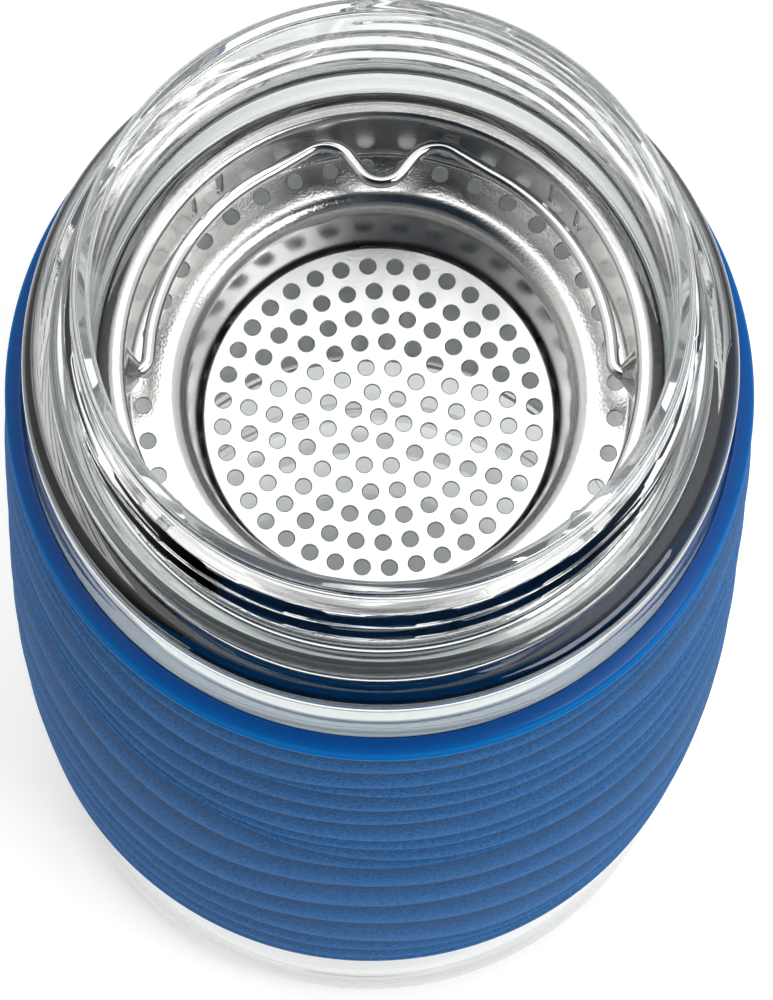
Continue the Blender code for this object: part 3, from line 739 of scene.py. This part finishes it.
def tongue_loop(middle, top, foot):
    """The slot round three sides of a tongue, in the wall's unrolled plane of (arc, run)."""
    inner = TONGUE_WIDTH / 2
    outer = inner + TONGUE_SLOT_WIDTH
    corners = [
        (-outer, foot), (-outer, top - TONGUE_SLOT_WIDTH), (outer, top - TONGUE_SLOT_WIDTH), (outer, foot),
        (inner, foot), (inner, top), (-inner, top), (-inner, foot),
    ]
    places = [Vector(corner) for corner in corners]
    path = []
    for index, place in enumerate(places):
        after = places[(index + 1) % len(places)]
        path += fillet_points(places[index - 1], place, after, TONGUE_CORNER_ROUND)
    path = finer(path + path[:1], TONGUE_SLOT_WIDTH)[:-1]
    return np.array([(middle + point.x, point.y) for point in path])


def make_basket(material):
    """The stamped basket: a skin over its unrolled plane with holes, slots and dimples, made a sheet.

    Grid points inside the holes stay in the mesh as loose vertices.
    """
    line = basket_line()
    runs = np.concatenate([[0.0], np.cumsum(np.linalg.norm(np.diff(line, axis=0), axis=1))])
    tangents = np.gradient(line, runs, axis=0)
    tangents /= np.linalg.norm(tangents, axis=1)[:, None]
    line_normals = np.stack([tangents[:, 1], -tangents[:, 0]], 1)
    seam = math.radians(SHEET_SEAM_DEG)
    scale = BASKET_TOP_RADIUS
    width = TAU * scale
    rows = len(runs)
    wall_end = np.argmax(line[:, 1] < LEDGE_HEIGHT + LEDGE_CORNER_ROUND) - 1
    slot_top = RIM_TOP_HEIGHT - TONGUE_DROP + TONGUE_SLOT_WIDTH
    wall_start = np.argmax(line[:, 1] < slot_top + EDGE_BULGE) - 1
    flat = np.where(np.abs(line[:, 1] - line[:, 1].max() + LEDGE_DROP) < FLAT_TOLERANCE)[0]
    ledge_start = flat[0]
    ledge_end = flat[-1]

    def run_at(height):
        return float(np.interp(-height, -line[wall_start:wall_end + 1, 1], runs[wall_start:wall_end + 1]))

    def arc_at(angle):
        return (angle - seam) % TAU * scale

    pivot_run = run_at(PIVOT_HEIGHT)
    tongue_top = run_at(RIM_TOP_HEIGHT - TONGUE_DROP)
    tongue_foot = run_at(RIM_TOP_HEIGHT - TONGUE_DROP - TONGUE_HEIGHT)
    tongue_middles = []
    for index in range(TONGUE_COUNT):
        tongue_middles.append(arc_at(math.radians(TONGUE_FIRST_DEG) + TAU * index / TONGUE_COUNT))
    wall_loops = [tongue_loop(middle, tongue_top, tongue_foot) for middle in tongue_middles]
    for angle in (0.0, math.pi):
        radius = WIRE_RADIUS + PIVOT_CLEARANCE + EDGE_BULGE
        wall_loops.append(circle_loop(arc_at(angle), pivot_run, radius, HOLE_SIDES))
    ledge_loops = []
    for index in range(LEDGE_HOLE_COUNT):
        angle = math.radians(LEDGE_FIRST_HOLE_DEG) + TAU * index / LEDGE_HOLE_COUNT
        ring = circle_loop(LEDGE_HOLE_RING_RADIUS, 0.0, HOLE_RADIUS + EDGE_BULGE, HOLE_SIDES)
        turns = np.arctan2(ring[:, 1], ring[:, 0])
        reaches = np.hypot(ring[:, 0], ring[:, 1])
        ledge_line = slice(ledge_start, ledge_end + 1)
        loop_runs = np.interp(-reaches, -line[ledge_line, 0], runs[ledge_line])
        ledge_loops.append(np.stack([arc_at(angle) + turns * scale, loop_runs], 1))

    plane = []
    for row in range(rows):
        arcs = np.arange(SHEET_COLUMNS) * width / SHEET_COLUMNS
        plane.append(np.stack([arcs, np.full(SHEET_COLUMNS, runs[row])], 1))
    plane = np.concatenate(plane)
    faces = []
    open_loops = []
    bands = ((wall_start, wall_end, wall_loops), (ledge_start, ledge_end, ledge_loops))
    for row in range(rows - 1):
        if any(start <= row < end for start, end, _ in bands):
            continue
        faces += ring_faces(row * SHEET_COLUMNS, (row + 1) * SHEET_COLUMNS, SHEET_COLUMNS)
    for start, end, loops in bands:
        local = []
        numbers = []
        inner = np.arange((start + 1) * SHEET_COLUMNS, end * SHEET_COLUMNS)
        inner = inner[inner % SHEET_COLUMNS != 0]
        inner = inner[clear_of_loops(plane[inner], loops, SHEET_ROW / 2)]
        for index in inner:
            local.append(plane[index])
            numbers.append(int(index))
        edges = []
        seam_first = len(local)
        for row in range(start, end + 1):
            local += [(0.0, runs[row]), (width, runs[row])]
            numbers += [row * SHEET_COLUMNS] * 2
        seam_last = len(local) - 2
        for left in range(seam_first, seam_last, 2):
            edges += [(left, left + 2), (left + 1, left + 3)]
        for row, before, last in ((start, seam_first, seam_first + 1), (end, seam_last, seam_last + 1)):
            for column in range(1, SHEET_COLUMNS):
                local.append(plane[row * SHEET_COLUMNS + column])
                numbers.append(row * SHEET_COLUMNS + column)
                edges.append((before, len(local) - 1))
                before = len(local) - 1
            edges.append((before, last))
        for loop in loops:
            first = len(local)
            fresh = len(plane)
            plane = np.concatenate([plane, loop])
            local += [tuple(point) for point in loop]
            numbers += list(range(fresh, fresh + len(loop)))
            edges += loop_edges(first, len(loop))
            open_loops.append(list(range(fresh, fresh + len(loop))))
        for face in fill_plane(local, edges, loops):
            faces.append(tuple(numbers[index] for index in reversed(face)))

    angles = plane[:, 0] / scale + seam
    radius = np.interp(plane[:, 1], runs, line[:, 0])
    height = np.interp(plane[:, 1], runs, line[:, 1])
    across = np.stack([np.interp(plane[:, 1], runs, line_normals[:, side]) for side in (0, 1)], 1)
    across /= np.linalg.norm(across, axis=1)[:, None]
    dent = np.zeros(len(plane))
    on_wall = (plane[:, 1] > runs[wall_start]) & (plane[:, 1] < runs[wall_end])
    for angle in (0.0, math.pi):
        far = np.hypot(plane[:, 0] - arc_at(angle), plane[:, 1] - pivot_run)
        slope = (PIVOT_DIMPLE_RADIUS - far) / (PIVOT_DIMPLE_RADIUS - WIRE_RADIUS - PIVOT_CLEARANCE)
        dent += on_wall * PIVOT_DIMPLE_DEPTH * np.clip(slope, 0.0, 1.0)
    for middle in tongue_middles:
        within = np.abs(plane[:, 0] - middle) < TONGUE_WIDTH / 2 + TONGUE_EDGE_MARGIN
        rise = np.clip((tongue_foot - plane[:, 1]) / (tongue_foot - tongue_top), 0.0, 1.0)
        low_enough = plane[:, 1] > tongue_top - TONGUE_EDGE_MARGIN
        dent -= on_wall * within * low_enough * TONGUE_LEAN * rise ** TONGUE_LEAN_POWER
    radius = radius + across[:, 0] * dent
    height = height + across[:, 1] * dent
    places = around(radius, angles, height)
    normals = around(across[:, 0], angles, across[:, 1])
    first = list(range(SHEET_COLUMNS))
    last = [(rows - 1) * SHEET_COLUMNS + column for column in range(SHEET_COLUMNS)]
    points, solid = close_sheet(places, normals, faces, open_loops + [first[::-1], last])
    new_piece("basket", points, solid, material, "strainer", "strainer_basket")


def make_floor_disk(material):
    """The perforated disk, with its holes on concentric rings one pitch apart."""
    outer = circle_loop(0.0, 0.0, FLOOR_RADIUS - EDGE_BULGE, SHEET_COLUMNS)
    loops = [circle_loop(0.0, 0.0, HOLE_RADIUS + EDGE_BULGE, HOLE_SIDES)]
    for ring in range(1, FLOOR_RING_COUNT + 1):
        for index in range(HOLES_ADDED_PER_RING * ring):
            angle = math.radians(FLOOR_FIRST_HOLE_DEG) + TAU * index / (HOLES_ADDED_PER_RING * ring)
            reach = FLOOR_HOLE_PITCH * ring
            x = reach * math.cos(angle)
            y = reach * math.sin(angle)
            loops.append(circle_loop(x, y, HOLE_RADIUS + EDGE_BULGE, HOLE_SIDES))
    plane = np.concatenate([outer] + loops)
    edges = loop_edges(0, len(outer))
    open_loops = [list(range(len(outer)))[::-1]]
    first = len(outer)
    for loop in loops:
        edges += loop_edges(first, len(loop))
        open_loops.append(list(range(first, first + len(loop))))
        first += len(loop)
    faces = fill_plane(plane, edges, loops)
    height = np.full(len(plane), FLOOR_HEIGHT - SHEET_THICKNESS / 2)
    places = np.column_stack([plane, height])
    normals = np.tile((0.0, 0.0, 1.0), (len(plane), 1))
    points, solid = close_sheet(places, normals, faces, open_loops)
    new_piece("floor_disk", points, solid, material, "strainer", "strainer_floor")


def make_handle(material):
    """A round wire bent into a D, with a V notch in the middle. Its ends turn in the basket's wall."""
    right = [
        ((LINER_MOUTH_RADIUS - FIT_GAP, 0.0, 0.0), 0.0),
        ((HANDLE_HALF_WIDTH, 0.0, 0.0), HANDLE_SHOULDER_ROUND),
    ]
    for step in range(LOOP_STEPS + 1):
        angle = math.radians(LOOP_START_DEG + (LOOP_END_DEG - LOOP_START_DEG) * step / LOOP_STEPS)
        right.append(((LOOP_RADIUS * math.cos(angle), LOOP_LIFT + LOOP_RADIUS * math.sin(angle), 0.0), 0.0))
    right.append(((HUMP_HALF_SPAN, HUMP_REACH, 0.0), HUMP_ROUND))
    left = [((-point[0], point[1], point[2]), radius) for point, radius in reversed(right)]
    path = rounded_path(right + [((0.0, NOTCH_REACH, 0.0), NOTCH_ROUND)] + left)
    curve = bpy.data.curves.new("bail_wire", "CURVE")
    curve.dimensions = "3D"
    curve.bevel_depth = WIRE_RADIUS
    curve.bevel_resolution = WIRE_BEVEL_RESOLUTION
    curve.use_fill_caps = True
    spline = curve.splines.new("POLY")
    spline.points.add(len(path) - 1)
    for place, point in zip(spline.points, path):
        place.co = (*point, 1.0)
    spline.use_smooth = True
    curve.materials.append(material)
    handle = bpy.data.objects.new("bail_wire", curve)
    bpy.context.scene.collection.objects.link(handle)
    handle.location = (0.0, 0.0, PIVOT_HEIGHT)
    bpy.context.view_layer.update()
    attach(handle, "handle")
    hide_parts("strainer_handle")


def add_node(tree, kind, settings=(), inputs=()):
    """A new node with its settings. An input takes a value, or a link from the socket that is given."""
    node = tree.nodes.new(kind)
    for key, value in dict(settings).items():
        setattr(node, key, value)
    for key, value in dict(inputs).items():
        if isinstance(value, bpy.types.NodeSocket):
            tree.links.new(value, node.inputs[key])
        else:
            node.inputs[key].default_value = value
    return node


def spread(source, ends):
    """Inputs of a Map Range node that spreads 0 to 1 over the given ends."""
    return {"Value": source, "To Min": ends[0], "To Max": ends[1]}


def node_material(name):
    """A material with its Principled shader, and functions that add a node and link one to the shader."""
    material = bpy.data.materials.new(name)
    material.use_nodes = True
    tree = material.node_tree
    shader = tree.nodes["Principled BSDF"]

    def add(kind, settings=(), inputs=()):
        return add_node(tree, kind, settings, inputs)

    def link(source, key):
        tree.links.new(source, shader.inputs[key])

    return material, shader, add, link


def glass_material(name, colour):
    """Clear pressed glass with the faint waviness that moulded walls have."""
    material, shader, add, link = node_material(name)
    shader.inputs["Base Color"].default_value = (*colour, 1.0)
    shader.inputs["Roughness"].default_value = 0.0
    shader.inputs["IOR"].default_value = GLASS_IOR
    shader.inputs["Transmission Weight"].default_value = 1.0
    where = add("ShaderNodeTexCoord")
    waves = add("ShaderNodeTexNoise", inputs={
        "Vector": where.outputs["Object"], "Scale": GLASS_WAVE_SCALE, "Detail": 2.0,
    })
    bump = add("ShaderNodeBump", inputs={
        "Height": waves.outputs["Fac"], "Strength": GLASS_WAVE_STRENGTH, "Distance": GLASS_WAVE_DEPTH,
    })
    link(bump.outputs["Normal"], "Normal")
    return material


def steel_material(name, colour, rough_range, grain_scale, grain_depth):
    """Pressed stainless steel with fine grain and uneven polish."""
    material, shader, add, link = node_material(name)
    shader.inputs["Metallic"].default_value = 1.0
    where = add("ShaderNodeTexCoord")
    cloud = add("ShaderNodeTexNoise", inputs={
        "Vector": where.outputs["Object"], "Scale": STEEL_CLOUD_SCALE, "Detail": 4.0,
    })
    tint = add("ShaderNodeMapRange", inputs=spread(cloud.outputs["Fac"], STEEL_TINT_RANGE))
    shade = add("ShaderNodeVectorMath", {"operation": "SCALE"}, {0: colour, "Scale": tint.outputs["Result"]})
    link(shade.outputs["Vector"], "Base Color")
    polish = add("ShaderNodeMapRange", inputs={
        **spread(cloud.outputs["Fac"], rough_range),
        "From Min": STEEL_CLOUD_RANGE[0], "From Max": STEEL_CLOUD_RANGE[1],
    })
    link(polish.outputs["Result"], "Roughness")
    grain = add("ShaderNodeTexNoise", inputs={
        "Vector": where.outputs["Object"], "Scale": grain_scale, "Detail": 2.0,
    })
    bump = add("ShaderNodeBump", inputs={
        "Height": grain.outputs["Fac"], "Strength": STEEL_GRAIN_STRENGTH, "Distance": grain_depth,
    })
    link(bump.outputs["Normal"], "Normal")
    return material


def sleeve_material():
    """Matt blue silicone with a fine speckle, painted shade in the recess under each ridge step and a painted
    highlight at each band's edge. The smooth lip is deep blue on top; the light colour of its face is a
    painted glow.
    """
    material, shader, add, link = node_material("sleeve_silicone")
    shader.inputs["IOR"].default_value = SLEEVE_IOR
    where = add("ShaderNodeTexCoord")
    place = add("ShaderNodeSeparateXYZ", inputs={"Vector": where.outputs["Object"]})
    lip_share = add("ShaderNodeMapRange", inputs={
        "Value": place.outputs["Z"],
        "From Min": LIP_FOOT_HEIGHT - LIP_FOOT_BLEND, "From Max": LIP_FOOT_HEIGHT + LIP_FOOT_BLEND,
    }).outputs["Result"]
    lip_top_share = add("ShaderNodeMapRange", {"interpolation_type": "SMOOTHSTEP"}, {
        "Value": place.outputs["Z"],
        "From Min": LIP_HEIGHT - LIP_TOP_BLEND_START, "From Max": LIP_HEIGHT - LIP_TOP_BLEND_END,
    }).outputs["Result"]
    edge = add("ShaderNodeAttribute", {"attribute_name": "edge_share"})
    speckle = add("ShaderNodeTexNoise", inputs={
        "Vector": where.outputs["Object"], "Scale": SPECKLE_SCALE, "Detail": 2.0,
        "Roughness": SPECKLE_ROUGHNESS,
    })
    cloud = add("ShaderNodeTexNoise", inputs={
        "Vector": where.outputs["Object"], "Scale": SLEEVE_CLOUD_SCALE, "Detail": 3.0,
    })
    ramp = add("ShaderNodeValToRGB", inputs={"Fac": speckle.outputs["Fac"]})
    colours = (SLEEVE_DARK, SLEEVE_LIGHT)
    for element, position, colour in zip(ramp.color_ramp.elements, SPECKLE_RANGE, colours):
        element.position = position
        element.color = (*colour, 1.0)
    uneven = add("ShaderNodeMapRange", inputs=spread(cloud.outputs["Fac"], SLEEVE_CLOUD_RANGE))
    # Painted shade and highlight: darker in the recess under each ridge step, lighter at each band's edge
    painted_shade_and_highlight = add("ShaderNodeMapRange", inputs=spread(edge.outputs["Fac"], SLEEVE_PAINTED_SHADE_AND_HIGHLIGHT_RANGE))
    tint = add("ShaderNodeMath", {"operation": "MULTIPLY"}, {
        0: uneven.outputs["Result"], 1: painted_shade_and_highlight.outputs["Result"],
    })
    body = add("ShaderNodeVectorMath", {"operation": "SCALE"}, {
        0: ramp.outputs["Color"], "Scale": tint.outputs["Value"],
    })
    # The lip's face gets the painted glow colour, its top the deep blue
    lip = add("ShaderNodeMix", {"data_type": "RGBA"}, {
        0: lip_top_share, 6: (*LIP_FACE_PAINTED_GLOW, 1.0), 7: (*LIP_TOP_COLOUR, 1.0),
    })
    colour = add("ShaderNodeMix", {"data_type": "RGBA"}, {
        0: lip_share, 6: body.outputs["Vector"], 7: lip.outputs[2],
    })
    link(colour.outputs[2], "Base Color")
    low_sheen = add("ShaderNodeMapRange", inputs=spread(lip_share, SLEEVE_SHEEN))
    sheen = add("ShaderNodeMath", {"operation": "MULTIPLY_ADD"}, {
        0: lip_top_share, 1: LIP_TOP_SHEEN, 2: low_sheen.outputs["Result"],
    })
    link(sheen.outputs["Value"], "Specular IOR Level")
    polish = add("ShaderNodeMapRange", inputs=spread(lip_share, SLEEVE_ROUGHNESS))
    link(polish.outputs["Result"], "Roughness")
    depth = add("ShaderNodeMapRange", inputs=spread(lip_share, SPECKLE_STRENGTH))
    bump = add("ShaderNodeBump", inputs={
        "Height": speckle.outputs["Fac"], "Strength": depth.outputs["Result"], "Distance": SPECKLE_DEPTH,
    })
    link(bump.outputs["Normal"], "Normal")
    return material


def plug_material():
    """Milky silicone that lets some light through."""
    material, shader, add, link = node_material("plug_silicone")
    shader.inputs["Transmission Weight"].default_value = PLUG_TRANSMISSION
    shader.inputs["IOR"].default_value = PLUG_IOR
    where = add("ShaderNodeTexCoord")
    cloud = add("ShaderNodeTexNoise", inputs={
        "Vector": where.outputs["Object"], "Scale": PLUG_CLOUD_SCALE, "Detail": 3.0,
    })
    ramp = add("ShaderNodeValToRGB", inputs={"Fac": cloud.outputs["Fac"]})
    for element, colour in zip(ramp.color_ramp.elements, (PLUG_DARK, PLUG_LIGHT)):
        element.color = (*colour, 1.0)
    link(ramp.outputs["Color"], "Base Color")
    polish = add("ShaderNodeMapRange", inputs=spread(cloud.outputs["Fac"], PLUG_ROUGHNESS_RANGE))
    link(polish.outputs["Result"], "Roughness")
    return material


def front_share(tree, place):
    """How far a direction or a place lies to the front, from 0 to 1, and its distance from the axis."""
    split = add_node(tree, "ShaderNodeSeparateXYZ", inputs={"Vector": place})
    level = add_node(tree, "ShaderNodeVectorMath", {"operation": "MULTIPLY"}, {0: place, 1: (1.0, 1.0, 0.0)})
    reach = add_node(tree, "ShaderNodeVectorMath", {"operation": "LENGTH"}, {0: level.outputs["Vector"]})
    ratio = add_node(tree, "ShaderNodeMath", {"operation": "DIVIDE"}, {
        0: split.outputs["Y"], 1: reach.outputs["Value"],
    })
    share = add_node(tree, "ShaderNodeMapRange", {"interpolation_type": "SMOOTHSTEP"}, {
        "Value": ratio.outputs["Value"], "From Min": FRONT_START, "From Max": FRONT_FULL,
    })
    return share.outputs["Result"], reach.outputs["Value"]


def seen_by_gloss(tree):
    """1 for what metal and glass see, 0 for the camera and for plain light, and the Light Path node."""
    path = add_node(tree, "ShaderNodeLightPath")
    sees = add_node(tree, "ShaderNodeMath", {"operation": "MAXIMUM"}, {
        0: path.outputs["Is Glossy Ray"], 1: path.outputs["Is Transmission Ray"],
    })
    return sees.outputs["Value"], path


def product(tree, first, second):
    """One value times another."""
    return add_node(tree, "ShaderNodeMath", {"operation": "MULTIPLY"}, {0: first, 1: second}).outputs["Value"]


def mixed(tree, share, first, second):
    """The first colour where the share is 0, and the second where it is 1."""
    mix = add_node(tree, "ShaderNodeMix", {"data_type": "RGBA"}, {
        0: share, 6: (*first, 1.0), 7: (*second, 1.0),
    })
    return mix.outputs[2]


def make_ground():
    """A wide pale floor that shows as white and keeps the object's soft shadow, with a painted shadow under
    the mug where less white is added.

    Metal and glass see it go dark some way in front, where the lit table ends.
    """
    material, shader, add, link = node_material("studio_floor")
    tree = material.node_tree
    shader.inputs["Roughness"].default_value = 1.0
    shader.inputs["Specular IOR Level"].default_value = 0.0
    where = add("ShaderNodeNewGeometry")
    front, reach = front_share(tree, where.outputs["Position"])
    sees, path = seen_by_gloss(tree)
    far = add("ShaderNodeMapRange", {"interpolation_type": "SMOOTHSTEP"}, {
        "Value": reach, "From Min": TABLE_EDGE_START, "From Max": TABLE_EDGE_END,
    })
    unlit = product(tree, product(tree, front, far.outputs["Result"]), sees)
    link(mixed(tree, unlit, FLOOR_COLOUR, FRONT_COLOUR), "Base Color")
    link(mixed(tree, unlit, WHITE, BLACK), "Emission Color")
    lifted = add("ShaderNodeMapRange", inputs=spread(path.outputs["Is Diffuse Ray"], (FLOOR_LIFT, 0.0)))
    # Painted shadow: under the mug the floor gets only a share of the added white
    painted_shadow_lift_share = add("ShaderNodeMapRange", {"interpolation_type": "SMOOTHSTEP"}, {
        "Value": reach, "From Min": UNDER_MUG, "From Max": CLEAR_OF_MUG, "To Min": UNDER_MUG_PAINTED_SHADOW_SHARE,
    })
    link(product(tree, lifted.outputs["Result"], painted_shadow_lift_share.outputs["Result"]), "Emission Strength")
    mesh = bpy.data.meshes.new("studio_floor")
    half = FLOOR_HALF_SIZE
    corners = [(-half, -half, 0), (half, -half, 0), (half, half, 0), (-half, half, 0)]
    mesh.from_pydata(corners, [], [(0, 1, 2, 3)])
    mesh.materials.append(material)
    ground = bpy.data.objects.new("studio_floor", mesh)
    bpy.context.scene.collection.objects.link(ground)


def make_world():
    """White for the camera. Metal and glass see a white studio that is dark in front.

    Plain light gets it at SKY_STRENGTH.
    """
    world = bpy.data.worlds.new("studio")
    bpy.context.scene.world = world
    world.use_nodes = True
    tree = world.node_tree
    background = tree.nodes["Background"]
    where = add_node(tree, "ShaderNodeTexCoord")
    front, _ = front_share(tree, where.outputs["Generated"])
    sees, path = seen_by_gloss(tree)
    colour = mixed(tree, product(tree, front, sees), WHITE, FRONT_COLOUR)
    tree.links.new(colour, background.inputs["Color"])
    diffuse = path.outputs["Is Diffuse Ray"]
    strength = add_node(tree, "ShaderNodeMapRange", inputs=spread(diffuse, (1.0, SKY_STRENGTH)))
    tree.links.new(strength.outputs["Result"], background.inputs["Strength"])


def add_softbox(name, place, size, power):
    light = bpy.data.lights.new(name, "AREA")
    light.shape = "RECTANGLE"
    light.size, light.size_y = size
    light.energy = power
    lamp = bpy.data.objects.new(name, light)
    bpy.context.scene.collection.objects.link(lamp)
    lamp.location = place
    away = Vector(place) - Vector(SOFTBOX_AIM)
    lamp.rotation_euler = away.to_track_quat("Z", "Y").to_euler()


def make_camera():
    camera = bpy.data.cameras.new("photo_camera")
    camera.lens = CAMERA_LENS_MM
    camera.sensor_width = CAMERA_SENSOR_MM
    camera.clip_end = CAMERA_FAR_END
    eye = bpy.data.objects.new("photo_camera", camera)
    bpy.context.scene.collection.objects.link(eye)
    elevation = math.radians(CAMERA_ELEVATION_DEG)
    roll = math.radians(CAMERA_ROLL_DEG)
    forward = Vector((0.0, math.cos(elevation), -math.sin(elevation)))
    level_up = Vector((0.0, math.sin(elevation), math.cos(elevation)))
    level_right = Vector((1.0, 0.0, 0.0))
    right = level_right * math.cos(roll) + level_up * math.sin(roll)
    up = level_up * math.cos(roll) - level_right * math.sin(roll)
    aim = Matrix((right, up, -forward)).transposed().to_4x4()
    turn = Matrix.Rotation(math.radians(CAMERA_TURN_DEG), 4, "Z")
    eye.matrix_world = turn @ Matrix.Translation(CAMERA_PLACE) @ aim
    bpy.context.scene.camera = eye


def main():
    scene = bpy.context.scene
    scene.view_settings.view_transform = "Standard"
    # Light runs far inside thick glass
    scene.cycles.max_bounces = GLASS_BOUNCES
    scene.cycles.transmission_bounces = GLASS_BOUNCES
    scene.cycles.glossy_bounces = GLASS_BOUNCES
    make_camera()
    make_ground()
    make_world()
    for softbox in SOFTBOXES:
        add_softbox(*softbox)
    shell_glass = glass_material("shell_glass", SHELL_COLOUR)
    liner_glass = glass_material("liner_glass", LINER_COLOUR)
    basket_steel = steel_material("basket_steel", *BASKET_STEEL)
    disk_steel = steel_material("disk_steel", *DISK_STEEL)
    wire_steel = steel_material("wire_steel", *WIRE_STEEL)
    make_outer_glass(shell_glass)
    make_inner_glass(liner_glass)
    make_base_plug(plug_material())
    make_sleeve(sleeve_material())
    make_basket(basket_steel)
    make_floor_disk(disk_steel)
    make_handle(wire_steel)
    bpy.context.view_layer.update()


main()
